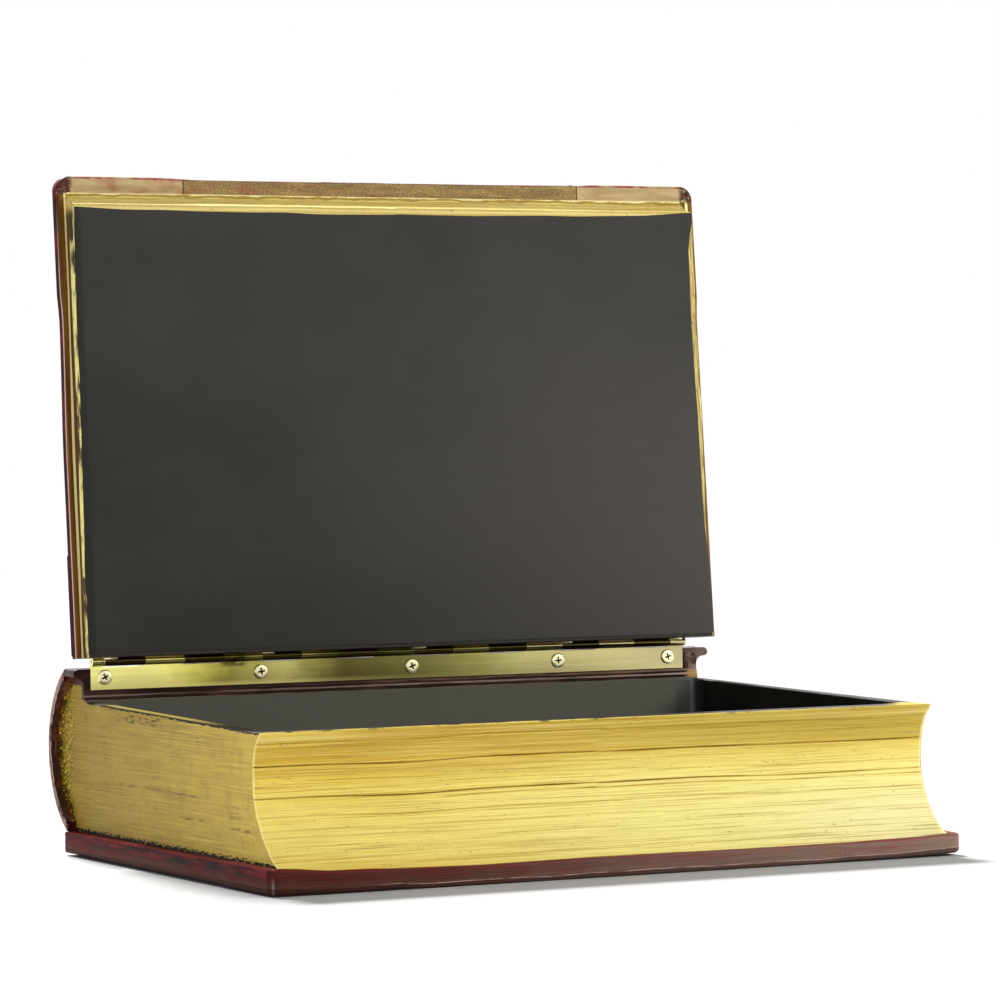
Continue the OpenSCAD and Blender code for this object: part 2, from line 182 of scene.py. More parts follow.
def tint(name):
    """A user's colour as linear RGBA."""
    return (*getattr(bpy.context.scene.book_box_colours, name), 1.0)


# Noise and profiles
def wave(a, b, cell_a, cell_b, seed):
    """Smooth value noise from -1 to 1: a seeded table of values on a lattice with cells of
    cell_a by cell_b, blended inside each cell by 3t^2 - 2t^3."""
    table = np.random.default_rng(seed).uniform(-1, 1, (257, 257))
    a, b = np.broadcast_arrays(np.asarray(a, float) / cell_a, np.asarray(b, float) / cell_b)
    i, j = np.floor(a).astype(int), np.floor(b).astype(int)
    s, t = a - i, b - j
    s, t = s * s * (3 - 2 * s), t * t * (3 - 2 * t)
    i, j = i % 256, j % 256
    low = table[i, j] * (1 - s) + table[i + 1, j] * s
    high = table[i, j + 1] * (1 - s) + table[i + 1, j + 1] * s
    return low * (1 - t) + high * t


def ramp(t, lo, hi):
    """0 below lo, 1 above hi, and 3t^2 - 2t^3 in between."""
    t = np.clip((t - lo) / (hi - lo), 0, 1)
    return t * t * (3 - 2 * t)


def fall(t, lo, hi):
    """1 below lo, 0 above hi: the ramp turned round."""
    return 1 - ramp(t, lo, hi)


def at_end(x, s, reach):
    """1 at the page block's end on side s, falling to 0 within a reach of it."""
    return fall(HALF - s * x, 0, reach)


def stations(lo, hi, step, radius=0.0):
    """Coordinates from lo to hi about step apart, with five more within radius of each end."""
    near = radius * np.array([0, 0.08, 0.3, 0.6, 0.85, 1.0]) if radius else np.array([0.0])
    middle = np.linspace(lo + radius, hi - radius, max(2, int(round((hi - lo) / step)) + 1))
    return np.unique(np.round(np.concatenate([lo + near, middle, hi - near]), 5))


def rim_z(y):
    """Height of the sloping rim at a depth y."""
    return FRONT_HI[2] + RIM_SLOPE * (np.asarray(y) - CAV_Y0)


def arc_radius(half, rise):
    """Radius of the arc that stands a rise over a chord of twice half."""
    return (half ** 2 + rise ** 2) / (2 * rise)


def quarter(radius, past):
    """How far a quarter circle falls back, a way past its start: r - sqrt(r^2 - past^2)."""
    past = np.clip(past, 0, radius)
    return radius - np.sqrt(radius * radius - past * past)


def lattice(us, vs, ws):
    """Points and faces of a box's surface: every point of the grid us x vs x ws that lies on
    one of its six sides, once, and the quads that join them, all facing out."""
    n = [len(us), len(vs), len(ws)]
    i, j, k = np.meshgrid(*[np.arange(c) for c in n], indexing="ij")
    skin = (i == 0) | (i == n[0] - 1) | (j == 0) | (j == n[1] - 1) | (k == 0) | (k == n[2] - 1)
    ids = np.full(n, -1)
    ids[skin] = np.arange(skin.sum())
    points = np.column_stack([us[i[skin]], vs[j[skin]], ws[k[skin]]])
    sides = [ids[0].T, ids[-1], ids[:, 0], ids[:, -1].T, ids[:, :, 0].T, ids[:, :, -1]]
    return points, np.concatenate([quads(side) for side in sides])


def quads(ids):
    """The quads between the points of a grid, from the grid of their numbers."""
    return np.stack([ids[:-1, :-1], ids[1:, :-1], ids[1:, 1:], ids[:-1, 1:]], axis=-1).reshape(-1, 4)


def rounded(points, inner):
    """Turn the square rings round each inner point q into circles of the same reach: a point p
    moves to q + (p - q) m / |p - q|, where m is the largest part of p - q."""
    d = points - inner
    reach = np.linalg.norm(d, axis=1)
    scale = np.where(reach > 1e-9, np.abs(d).max(axis=1) / np.maximum(reach, 1e-9), 1.0)
    return inner + d * scale[:, None]


def soften(points, lo, hi, radius, sides=(1, 1, 1, 1, 1, 1)):
    """Round a box's edges: the inner points are those held inside the box shrunk by radius.
    sides says which of the sides (-x, +x, -y, +y, -z, +z) take part, so that an edge against a
    neighbour stays sharp."""
    flags = np.array(sides, float)
    return rounded(points, np.clip(points, lo + radius * flags[0::2], hi - radius * flags[1::2]))


def round_corners(points, lo, hi, radius):
    """Round a slab's two front corners in plan."""
    inner = np.column_stack([np.clip(points[:, 0], lo[0] + radius, hi[0] - radius),
                             np.maximum(points[:, 1], lo[1] + radius)])
    return np.column_stack([rounded(points[:, :2], inner), points[:, 2]])


def slab(lo, hi, steps, radius, sides=(1, 1, 1, 1, 1, 1)):
    """A box with softened edges as a fine lattice."""
    lo, hi = np.array(lo, float), np.array(hi, float)
    points, faces = lattice(*[stations(lo[a], hi[a], steps[a], radius) for a in range(3)])
    return soften(points, lo, hi, radius, sides), faces


def sag(x):
    """How far the front edge of the lower board hangs below its plane, along x."""
    return np.interp(x, (-132, -126, -114, -90, -56, -14, 50, 100, 118, 134),
                     (0, 0.4, 1.5, 1.7, 2.3, 1.9, 2.15, 2.1, 1.8, 1.1))


def lift(x):
    """How high the lower board's bottom edge stands along x, where it isn't down on its foot."""
    return np.interp(x, (-136, -104, -88, -80, 78, 88, 125, 136),
                     (0, -0.4, -0.42, -0.95, -0.9, -0.42, 0.2, 0.6))


def settle(p):
    """Warp of the lower board: its front edge sags at the top and lies uneven at the bottom,
    shared out over the thickness, its left side leans out a little towards the spine, and its
    sides are sunk by up to 0.22 mm of noise in long lines."""
    x, y, z = p.T
    top = -sag(x) * fall(y, FOOT_Y + 2, FOOT_Y + 22)
    low = lift(x) * fall(y, BASE_LO[1] + 1.5, BASE_LO[1] + 5)
    up = (z - BASE_LO[2]) / (BASE_HI[2] - BASE_LO[2])
    lean = 0.5 * fall(y, -95, -20) - 0.35 * ramp(y, -45, 110)
    side = np.minimum(ramp(np.abs(x), HALF - 2, HALF + 1) + ramp(-y, -FOOT_Y - 2, -FOOT_Y + 1), 1)
    sink = 0.22 * (0.5 + 0.5 * wave(x + y, z, 60, 1.3, 41)) * side
    away = np.column_stack([x, y - 20])
    away = sink[:, None] * away / np.linalg.norm(away, axis=1)[:, None]
    return np.column_stack([x - away[:, 0] + lean * ramp(-x, 60, 130), y - away[:, 1],
                            z + up * top + (1 - up) * low])


def flare(s, y, z):
    """How far the page block's end on side s stands out, most at the front of the rim."""
    out = 1.2 * ramp(z, 9, 37) if s < 0 else 0.8 + 1.1 * ramp(z, 30, 54)
    return out * fall(y, -88, 75)


def loft(rings):
    """Points and faces of a tube through closed rings of equal count, each an (m, 3) array,
    with a flat face over its first and its last ring."""
    rings = np.asarray(rings, float)
    n, m = rings.shape[:2]
    ids = np.arange(n * m).reshape(n, m)
    nxt = np.roll(ids, -1, axis=1)
    tube = np.stack([ids[:-1], nxt[:-1], nxt[1:], ids[1:]], axis=-1).reshape(-1, 4)
    return rings.reshape(-1, 3), tube, [list(ids[0][::-1]), list(ids[-1])]


def lid_pose(points):
    """Turn closed points of the lid about the hinge axis to the frame's pose."""
    dy, dz = points[:, 1] - AXIS_Y, points[:, 2] - AXIS_Z
    c, s = math.cos(OPEN), math.sin(OPEN)
    return np.column_stack([points[:, 0], AXIS_Y + dy * c + dz * s, AXIS_Z - dy * s + dz * c])


def piece(name, points, faces, material, body, slot, nodes, caps=(), sharp=38, **marks):
    """Make the object of one piece from points in millimetres, in place of frame nodes. The
    points before the lid's turn stay on it as the attribute lay, which its material reads;
    marks are further values per point. Faces are turned outwards if the enclosed volume, a sum
    of tetrahedra, comes out negative."""
    points, faces = np.asarray(points, float), np.asarray(faces)
    a, b, c, d = (points[faces[:, i]] for i in range(4))
    volume = np.einsum("ij,ij->i", a, np.cross(b, c) + np.cross(c, d)).sum()
    for cap in caps:
        ring = points[cap]
        volume += (np.cross(ring[1:-1], ring[2:]) @ ring[0]).sum()
    polys = faces.tolist() + [list(map(int, cap)) for cap in caps]
    if volume < 0:
        polys = [p[::-1] for p in polys]
    placed = lid_pose(points) if body == "lid" else points
    mesh = bpy.data.meshes.new(name)
    mesh.from_pydata((placed * MM).tolist(), [], polys)
    lay = mesh.attributes.new("lay", "FLOAT_VECTOR", "POINT")
    lay.data.foreach_set("vector", (points * MM).astype(np.float32).ravel())
    for key, values in marks.items():
        stored = mesh.attributes.new(key, "FLOAT", "POINT")
        stored.data.foreach_set("value", np.asarray(values, np.float32))
    mesh.validate()
    mesh.shade_smooth()
    mesh.set_sharp_from_angle(angle=math.radians(sharp))
    mesh.materials.append(material)
    obj = bpy.data.objects.new(name, mesh)
    bpy.context.scene.collection.objects.link(obj)
    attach(obj, body)
    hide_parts(*nodes)


def dress(node, material):
    """Give a frame node that stays in view its material."""
    mesh = frame["nodes"][node].data
    mesh.materials.clear()
    mesh.materials.append(material)


# Material helpers
class Field:
    """A value, colour or place that varies over a surface: one output of a node. Arithmetic
    with fields and numbers adds the nodes that work it out."""
    __array_ufunc__ = None     # numpy's numbers leave the arithmetic to this class

    def __init__(self, socket):
        self.socket, self.tree = socket, socket.id_data

    def output(self, name):
        """Another output of the same node."""
        return Field(self.socket.node.outputs[name])

    def math(self, operation, *values):
        return add(self.tree, "ShaderNodeMath", dict(enumerate(values)), operation=operation)

    def __add__(self, other):
        return self.math("ADD", self, other)

    def __sub__(self, other):
        return self.math("SUBTRACT", self, other)

    def __rsub__(self, other):
        return self.math("SUBTRACT", other, self)

    def __mul__(self, other):
        return self.math("MULTIPLY", self, other)

    def __abs__(self):
        return self.math("ABSOLUTE", self)


def add(tree, kind, inputs=None, **settings):
    """Add a node of a kind to a tree, set its properties, and fill its inputs with numbers,
    sRGB hex values or fields. Returns its first output, if it has one."""
    node = tree.nodes.new(kind)
    for key, value in settings.items():
        setattr(node, key, value)
    for key, value in (inputs or {}).items():
        if isinstance(value, Field):
            tree.links.new(value.socket, node.inputs[key])
        else:
            node.inputs[key].default_value = linear(value) if isinstance(value, str) else value
    return Field(node.outputs[0]) if node.outputs else None


def material(name, carried=False):
    """A new material and the place on its surface: the attribute lay of a modelled piece, or
    the Object coordinates of a frame node that is carried over."""
    made = bpy.data.materials.new(name)
    made.use_nodes = True
    tree = made.node_tree
    tree.nodes.clear()
    if carried:
        return made, add(tree, "ShaderNodeTexCoord").output("Object")
    return made, add(tree, "ShaderNodeAttribute", attribute_name="lay").output("Vector")


def mark(place, name):
    """A value stored on the mesh's points."""
    return add(place.tree, "ShaderNodeAttribute", attribute_name=name).output("Fac")


def axes(place):
    """A place's three coordinates, in millimetres."""
    split = add(place.tree, "ShaderNodeSeparateXYZ", {0: place})
    return [split.output(axis) * (1 / MM) for axis in range(3)]


def stretch(place, cells):
    """Scale space so that one unit is a cell of the given sizes in millimetres."""
    return add(place.tree, "ShaderNodeVectorMath",
               {0: place, 1: tuple(1 / (c * MM) for c in cells)}, operation="MULTIPLY")


def rise(value, low, high, step="SMOOTHSTEP"):
    """0 below low and 1 above high."""
    return add(value.tree, "ShaderNodeMapRange", {0: value, 1: low, 2: high},
               interpolation_type=step)


def beyond(value, edge, width):
    """0 below an edge and 1 above it, over a width."""
    return rise(value, edge - width / 2, edge + width / 2)


def before(value, edge, width):
    """1 below an edge and 0 above it, over a width."""
    return 1 - beyond(value, edge, width)


def within(value, lo, hi, width):
    """1 between two edges, fading over a width."""
    return beyond(value, lo, width) * before(value, hi, width)


def either(a, b):
    """The greater of two values, so that it shows where either does."""
    return a.math("MAXIMUM", a, b)


def noise(place, cells, detail=3.0, rough=0.55, distortion=0.0, low=0.3, high=0.7):
    """Noise whose cells have real sizes, spread to 0..1 between low and high."""
    raw = add(place.tree, "ShaderNodeTexNoise", {
        "Vector": stretch(place, cells), "Scale": 1.0, "Detail": detail,
        "Roughness": rough, "Distortion": distortion})
    return rise(raw, low, high)


def blend(factor, a, b):
    """Value b in place of value a, as far as the factor goes."""
    return add(factor.tree, "ShaderNodeMix", {0: factor, 2: a, 3: b}, data_type="FLOAT")


def mix(factor, a, b):
    """Colour b over colour a, as far as the factor goes."""
    return add(factor.tree, "ShaderNodeMix", {0: factor, 6: a, 7: b}, data_type="RGBA").output(2)


def coats(base, *layers):
    """A colour with coats over it, each a pair of a factor and a colour."""
    for factor, shade in layers:
        base = mix(factor, base, shade)
    return base


def shades(value, lo, hi, *stops):
    """Colours along a value in millimetres: stops are (millimetres, sRGB hex)."""
    found = add(value.tree, "ShaderNodeValToRGB", {0: rise(value, lo, hi, "LINEAR")})
    elements = found.socket.node.color_ramp.elements
    while len(elements) < len(stops):
        elements.new(0.5)
    for element, (at, code) in zip(elements, stops):
        element.position = (at - lo) / (hi - lo)
        element.color = linear(code)
    return found


def finish(base, rough, relief, depth, **sockets):
    """Close a material with its colour, roughness and relief, whose height is depth
    millimetres. Values that are the same all over go straight to the sockets."""
    inputs = {"Base Color": base, "Roughness": rough}
    inputs.update({key.replace("_", " "): value for key, value in sockets.items()})
    inputs["Normal"] = add(relief.tree, "ShaderNodeBump", {
        "Strength": 1.0, "Distance": depth * MM, "Height": relief})
    shader = add(relief.tree, "ShaderNodeBsdfPrincipled", inputs)
    add(relief.tree, "ShaderNodeOutputMaterial", {"Surface": shader})


# Materials
def black_paint(place):
    """Colour, roughness and relief of the black paint inside: brushed on, satin, with long
    faint brush marks."""
    marks = noise(place, (40, 40, 1.1), detail=4)
    return mix(noise(place, (18, 18, 18)), tint("black"), "#23231f"), marks * 0.14 + 0.28, marks


SCUFFS = (   # clusters of dark strokes on head and tail: centre y and z, half sizes in y and z
    (27, 54, 19, 1.6), (16, 29.6, 42, 0.35), (-21, 21.2, 12, 0.5), (-68, 20.3, 11, 0.5))


def gilt_end(place, y, z):
    """Colour and relief of head and tail: rubbed olive-gold, combed along Y, with clusters of
    dark strokes, a few bright specks, crumbs of bright leaf at the spine and soot at the foot."""
    comb = noise(place, (5, 40, 0.45), detail=4, rough=0.6)
    broad = noise(place, (30, 40, 9))
    stain = noise(place, (9, 6, 5), low=0.5)
    stroke = noise(place, (2, 7, 0.5), detail=4, low=0.48, high=0.58)
    scuffs = noise(place, (20, 16, 6), detail=2, low=0.56, high=0.66) * 0.35
    for at_y, at_z, half_y, half_z in SCUFFS:
        scuffs = either(scuffs, within(y, at_y - half_y, at_y + half_y, 6)
                        * within(z, at_z - half_z, at_z + half_z, 0.8))
    speck = noise(place, (1.1, 1.1, 0.8), detail=2, low=0.72, high=0.78)
    near = beyond(broad * 7.0 + y, BACK_Y + 5, 14)
    dark = noise(place, (1.3, 1.3, 1.3), low=0.45, high=0.62)
    crumb = noise(place, (1.1, 1.1, 1.1), low=0.56, high=0.66)
    ragged = noise(place, (3, 3.5, 0.8), detail=4)
    return coats(
        "#977d2e",
        (comb, "#c6ad4c"),
        (broad * 0.6, tint("gilt_end")),
        (beyond(y, 30, 200) * 0.55, "#735a22"),
        (beyond(y * -1.0, 70, 60) * 0.5, "#ddc35a"),
        (stain * 0.25, "#8a6c45"),
        (scuffs * stroke * 0.8, "#46350f"),
        (speck, "#ead468"),
        (near * dark * 0.85, "#4d3a10"),
        (near * crumb, "#f4dc58"),
        (before(ragged * -2.1 + z, BOARD_TOP + 0.1, 0.5), "#170e06")), comb


def gilt_fore_edge(place, x, z, wide):
    """Colour and relief of the fore-edge: gold paint, ochre under the rim and creamy at the
    foot, the ochre partly painted shade where the hollow faces down, streaked along X, with
    dark ochre in the cuts between gatherings as painted shade, paler lemon and cream towards
    the right and the foot, partly painted light, painted highlights along the rim's lip and
    down the rounded corner, and a few brown specks."""
    streak = noise(place, (80, 9, 0.5), detail=4, rough=0.62, low=0.34, high=0.66)
    band = noise(place, (150, 40, 2.6), rough=0.6)
    fine = noise(place, (26, 5, 0.22), rough=0.6)
    thin = noise(place, (60, 8, 0.42), rough=0.5, low=0.53, high=0.64)
    hair = noise(place, (38, 6, 0.3), detail=4, rough=0.6, low=0.58, high=0.68)
    speck = noise(place, (2.0, 2, 0.6), low=0.64, high=0.72)
    where = noise(place, (16, 20, 5), detail=2, low=0.5, high=0.6)
    cut = mark(place, "cut")
    return coats(
        # partly painted shade: the ramp darkens to ochre under the rim, where the hollow faces down
        shades(z + band * 9.0 - 4.5, 9, 55, (9, "#d8bd58"), (14, "#e6d272"), (24, "#e8d46c"),
               (33, "#e3ca56"), (39, "#d6b945"), (44, "#bf9b30"), (51, "#b48f29"), (55, "#cfb146")),
        (streak * 0.5, "#eedd85"),
        (fine * 0.4, "#b49430"),
        # partly painted light: paler lemon towards the right and the foot, where the key lamp falls
        (beyond(x, -40, 130) * (before(z, 36, 18) * 0.75 + 0.1), "#e4d986"),
        # painted light: cream low on the right
        (beyond(x, 70, 120) * before(z, 24, 20) * 0.5, "#e2dab0"),
        # painted shade: darker ochre high on the right, under the rim
        (beyond(x, 20, 200) * beyond(z, 41, 8) * 0.55, "#a08c38"),
        (thin * 0.5, "#a2802c"),
        (hair * 0.55, "#7d5f24"),
        # painted highlight: a pale band along the rim's lip
        (within(z, 51.2, 53.2, 1.2) * streak * 0.5, "#ead98a"),
        # painted shade: dark ochre in the cuts between gatherings, darkest in the deepest cuts
        (rise(cut, 0.14, 0.5, "LINEAR") * 0.9, tint("gilt_shade")),
        (rise(cut, 0.5, 0.8, "LINEAR"), "#7d5a1c"),
        (speck * where * 0.8, "#6d5222"),
        # painted highlight: a pale line down the rounded corner beside head and tail
        (beyond(wide, HALF - 1.0, 0.7) * 0.55, "#f1e5a6")), streak


def gilt_pages(name, wall):
    """Gilded page edges: gold paint over gesso, combed into page lines, more a satin yellow
    than a mirror. Head and tail take the olive tone, the fore-edge the bright one, and the
    black paint of the inside comes up over the rim, with a ragged edge."""
    made, place = material(name)
    x, y, z = axes(place)
    base, relief = gilt_end(place, y, z)
    rough = 0.5
    if wall != "core":
        wide = mark(place, "own") if wall == "front" else abs(x)
        above = z - (y * RIM_SLOPE + float(rim_z(0)))
        ragged = noise(place, (4, 4, 0.6), detail=4)
        # at the right front the rim's top keeps no black paint and takes a pale grey-brown: a painted
        # reflection on the rim
        bare = beyond(x, HALF - 12, 6) * beyond(above, -0.5, 0.3) * before(y, CAV_Y0 + 5, 8)
        clear = 1 - bare
        base = coats(base, (beyond(ragged * 0.6 + above, -0.3, 0.3) * clear, "#241a10"),
                     (bare * ragged * 0.9, "#8d7c5c"))
        paint, paint_rough, marks = black_paint(place)
        if wall == "front":
            face, face_relief = gilt_fore_edge(place, x, z, wide)
            end = beyond(wide, HALF - 0.45, 0.3)
            base = mix(end, face, base)
            relief = blend(end, face_relief, relief)
            lip = beyond(noise(place, (7, 2, 2), detail=4) * 0.9 + y,
                         FOOT_Y + size("rim_setback") + 1.5, 0.4) * beyond(above, -0.3, 0.2)
            inside = either(beyond(y, CAV_Y0 - 1.3, 0.2), lip) * before(wide, HALF - 0.5, 0.2)
        else:
            lip = beyond(above, -0.12, 0.15)
            inside = either(before(wide, HALF - 4.6, 0.3), lip)
        if wall == "left":
            # the left rim's top: gilt brightened towards the hinge, partly worn gilt and partly a
            # painted highlight where the backlight catches it
            gilt_sliver_highlight = (beyond(y, -30, 50) * lip * within(wide, HALF - 4.8, HALF - 0.45, 0.25)
                      * before(y, 68, 4))
            paint = mix(gilt_sliver_highlight, paint, "#dcc56a")
        inside = inside * clear
        base = mix(inside, base, paint)
        relief = blend(inside, relief, marks)
        rough = blend(inside, rough, paint_rough)
    finish(base, rough, relief, 0.1, Specular_IOR_Level=0.07)
    return made


def board_leather(name):
    """Marbled calf on the lower board under clear varnish: burgundy clouds over bark brown,
    brightest along the upper edge, drawn out into long lines, with a pale rubbed fold near
    the foot, painted shade below it on the lower rounded edge, a painted highlight down the
    front corner, and a greyer tone towards the right that is a painted sheen of the varnish."""
    made, place = material(name)
    x, y, _ = axes(place)
    up = mark(place, "rise")
    side = beyond(abs(x), BASE_HI[0] - 1.4, 0.8) * beyond(y, BASE_LO[1] + 2.5, 3)
    cloud = noise(place, (20, 20, 2.6), detail=5, rough=0.58, distortion=0.2, low=0.38, high=0.66)
    high = beyond(cloud * 1.5 + up, 5.4, 3.0)
    # painted sheen: greyer towards the right end of the front, for the varnish's reflection of the
    # lamp; red and dark lines thin out under it
    right = beyond(x, 0, 260) * before(y, BASE_LO[1] + 20, 30)
    red = cloud * (high * 0.7 + 0.3) * either(right * -0.35 + 0.5, side)
    streaks = noise(place, (45, 45, 0.55), detail=4, low=0.52, high=0.64)
    lines = noise(place, (60, 60, 0.3), low=0.56, high=0.66)
    u = abs(x) - (BASE_HI[0] - size("base_corner"))
    v = BASE_LO[1] + size("base_corner") - y
    # painted highlight: a pale line down the rounded front corner
    arris_highlight = (beyond(u, 1.2, 1.0) * beyond(v, 1.2, 1.0) * within(u - v, -0.9, 0.5, 0.5)
             * before(up, 5.0, 5.0))
    level = noise(place, (24, 24, 50), detail=4, low=0.2, high=0.8) * -0.8 + up
    fold = (within(level, 2.4, 2.8, 0.2) * noise(place, (9, 9, 2), low=0.32, high=0.55)
            * beyond(x, -92, 20))
    base = coats(
        "#513429",
        (high, "#4a271f"),
        # the painted sheen towards the right
        (right * 0.95, "#836b5f"),
        (side, mix(high, "#54302a", "#22100d")),
        (red, mix(side, "#5e1d1e", "#6a1a1f")),
        (streaks * high * beyond(x, -60, 120) * 0.4, "#8f2630"),
        (lines * (right * -0.5 + 0.55), "#241110"),
        (beyond(up, BOARD_TOP - 0.45, 0.3) * 0.45, "#6b1f20"),
        (arris_highlight * 0.5, "#a3948c"),
        (beyond(x, BASE_HI[0] - 1.6, 1.0) * before(y, -90, 4) * 0.8, "#8e1c2b"),
        (fold * 0.9, "#a98a84"),
        # painted shade: darker below the fold, on the board's lower rounded edge
        (before(level, 2.3, 0.3) * 0.6, "#2b1a18"))
    grain = noise(place, (0.9, 0.9, 0.9), detail=4)
    finish(base, grain * 0.12 + 0.3, fold * 1.5 + grain * 0.4, 0.06, Specular_IOR_Level=0.015)
    return made


def lid_leather(name, inner_z):
    """Marbled calf on the lid under clear varnish: a bark-brown ground with clouds and flecks
    of burgundy and near-black veins, with a painted pale highlight along its rounded edge.
    The inner face, at the height inner_z, shows the leather turned in."""
    made, place = material(name)
    x, y, z = axes(place)
    wide = mark(place, "own")
    cloud = noise(place, (16, 16, 9), detail=5, rough=0.62, distortion=0.7, low=0.46, high=0.64)
    fleck = noise(place, (3.2, 3.2, 1.6), detail=4, rough=0.6, low=0.56)
    vein = noise(place, (7, 7, 2.2), detail=5, rough=0.7, distortion=1.4, low=0.52, high=0.72)
    grain = noise(place, (0.9, 0.9, 0.9), detail=4)
    side = beyond(wide, HALF + size("lid_square") - 1.2, 0.3)
    # painted highlight: a pale pinkish line along the rounded edge of the board's sides
    arris_highlight = (side * within(z, inner_z + 0.25, inner_z + 0.85, 0.25)
             * noise(place, (20, 26, 20), low=0.2, high=0.45) * beyond(y, -72, 30))
    turned, crack = turned_in(place, x, y, wide)
    inner = before(z, inner_z + 0.35, 0.25)
    base = coats(
        tint("bark"),
        (either(cloud, fleck * 0.6), tint("burgundy")),
        (vein * 0.6, "#1d100e"),
        (side, mix(cloud, "#2a0c11", "#5c1620")),
        (arris_highlight * 0.9, "#e3bcb4"),
        (inner, turned))
    rough = blend(inner, blend(side, grain * 0.14 + 0.24, 0.8), 0.5)
    relief = blend(inner, grain * 0.5 + cloud, 1 - crack)
    finish(base, rough, relief, 0.08, Specular_IOR_Level=0.09)
    return made


def turned_in(place, x, y, wide):
    """Colour of the leather turned in on the lid, and its cracks: rubbed tan in front, crackled
    and soiled between the smooth corner patches, red along the front, dark at the corners, and
    golden brown with a bright line at the sides."""
    joint = HALF + size("lid_square") - size("patch_leg") - LID_SEAM
    patch = beyond(wide, joint, 0.6)
    cells = add(place.tree, "ShaderNodeTexVoronoi", {
        "Vector": stretch(place, (1.3, 1.0, 1.3)), "Scale": 1.0}, feature="DISTANCE_TO_EDGE")
    crack = (1 - rise(cells, 0.0, 0.16, "LINEAR")) * (1 - patch)
    soil = noise(place, (18, 3, 3), detail=4, low=0.42, high=0.62)
    blotch = noise(place, (8, 4, 5), detail=4, low=0.42, high=0.72)
    front = before(y, lid_levels()[2] + 0.6, 0.3) * noise(place, (9, 9, 9), low=0.4, high=0.6)
    corner = beyond(wide, HALF - 1.5, 2.5) * noise(place, (2.5, 2.5, 2.5), high=0.5)
    specks = noise(place, (0.9, 0.9, 0.9), detail=2, low=0.6, high=0.68)
    line = within(wide, HALF + 0.8, HALF + 1.8, 0.3) * noise(place, (8, 25, 8), low=0.0, high=0.25)
    square = coats("#533510", (noise(place, (1.5, 40, 2)), "#7b5519"), (line, "#fff3ac"))
    return coats(
        tint("tan"),
        (noise(place, (24, 4, 4)), "#8f7a49"),
        (soil * beyond(x, -70, 60) * 0.5, "#69543c"),
        (patch, mix(noise(place, (16, 3, 3)), "#96825a", "#b09a70")),
        (blotch * (before(x, -30, 100) * 0.5 + 0.15), "#93503e"),
        (front * 0.9, "#7c2b28"),
        (crack * 0.55, "#43361d"),
        (before(abs(wide - joint), 0.25, 0.25) * 0.9, "#2c1d12"),
        (corner, mix(noise(place, (2.5, 2.5, 2.5), low=0.42, high=0.58), "#24170f", "#4c2520")),
        (corner * specks * 0.7, "#b09a58"),
        (beyond(y, -88.0, 2.0) * beyond(wide, HALF - 1.5, 0.5), square)), crack


def dark_leather(name, layered=False):
    """Spine leather, strip and turned-in corners: smooth, almost black burgundy with worn
    brown-red places, varnished. Layered shows the cut end of the cover as well."""
    made, place = material(name)
    x, y, _ = axes(place)
    cloud = noise(place, (14, 10, 8), detail=4, low=0.42, high=0.68)
    wear = noise(place, (9, 3.5, 3.5), detail=4, low=0.6, high=0.75)
    grain = noise(place, (0.8, 0.8, 0.8), detail=4)
    base = coats("#231210", (cloud, "#4a1a1c"), (wear * 0.3, "#6d4438"))
    if layered:
        base = mix(mark(place, "end"), base, cover_layers(place, x))
    tip = beyond(x, 122, 8) * within(y, FACE_Y - 1.5, FACE_Y + 5, 2)
    base = mix(tip * 0.6, base, "#806a60")
    finish(base, grain * 0.16 + 0.26, grain, 0.05, Specular_IOR_Level=0.09)
    return made


def cover_layers(place, x):
    """Colour of the spine cover's cut end, by the depth into it: dark red skin, thin pale
    lines of painted highlight, brown board, and a dark ring inside with remains of gold."""
    layer = mark(place, "layer")
    wobble = noise(place, (2.5, 2.5, 2.5))
    at = wobble * 0.3 + layer
    out = wobble * -0.5 + (abs(x) - HALF)
    flake = noise(place, (2, 4, 3), low=0.55, high=0.65)
    # painted highlight: thin pale lines across the cut end
    glint = (noise(place, (1.5, 8, 8), low=0.36, high=0.52)
             * either(within(at, 1.5, 2.1, 0.2), within(at, 2.9, 3.2, 0.2)))
    crumbs = noise(place, (0.9, 1.2, 0.9), low=0.54, high=0.6) * before(out, 0.9, 0.8)
    soot = noise(place, (3, 5, 9), detail=4, low=0.4, high=0.6)
    ends = coats(
        shades(at, 0, 5, (0.0, "#55231f"), (0.9, "#7c4434"), (1.9, "#86503a"), (2.7, "#3a1a14"),
               (3.6, "#140807"), (4.8, "#1a0a09")),
        (flake * 0.5, "#8a1a24"),
        (glint * 0.8, "#e0bfb0"))
    ring = coats(
        shades(out, -1, 4, (-0.6, "#7d6429"), (0.6, "#5a431c"), (1.1, "#5c3318"), (1.7, "#6f3a20"),
               (2.6, "#652b1a"), (3.1, "#1c0a08"), (4.0, "#0f0606")),
        (crumbs, "#e6c848"),
        (soot * 0.7, "#1d1408"))
    return mix(beyond(layer, 4.3, 0.15), ends, ring)


def spine_leather():
    """Dark leather of the spine, made once."""
    return bpy.data.materials.get("dark spine leather") or dark_leather("dark spine leather")


LEAF_REFLECTION_TONES = (   # painted reflections on the wall's leaf along x: bright and olive bands
    (-129, "#efe88e"), (-110, "#e8de86"), (-97, "#ecdf82"), (-86, "#cabe5b"), (-74, "#8e853b"),
    (-64, "#a0974f"), (-50, "#b6ae68"), (-38, "#878143"), (-26, "#58522a"), (-12, "#5e592b"),
    (6, "#6e6c3a"), (22, "#847f46"), (32, "#969151"), (51, "#b5af71"), (72, "#b4a974"),
    (92, "#b2a775"), (124, "#a39870"))


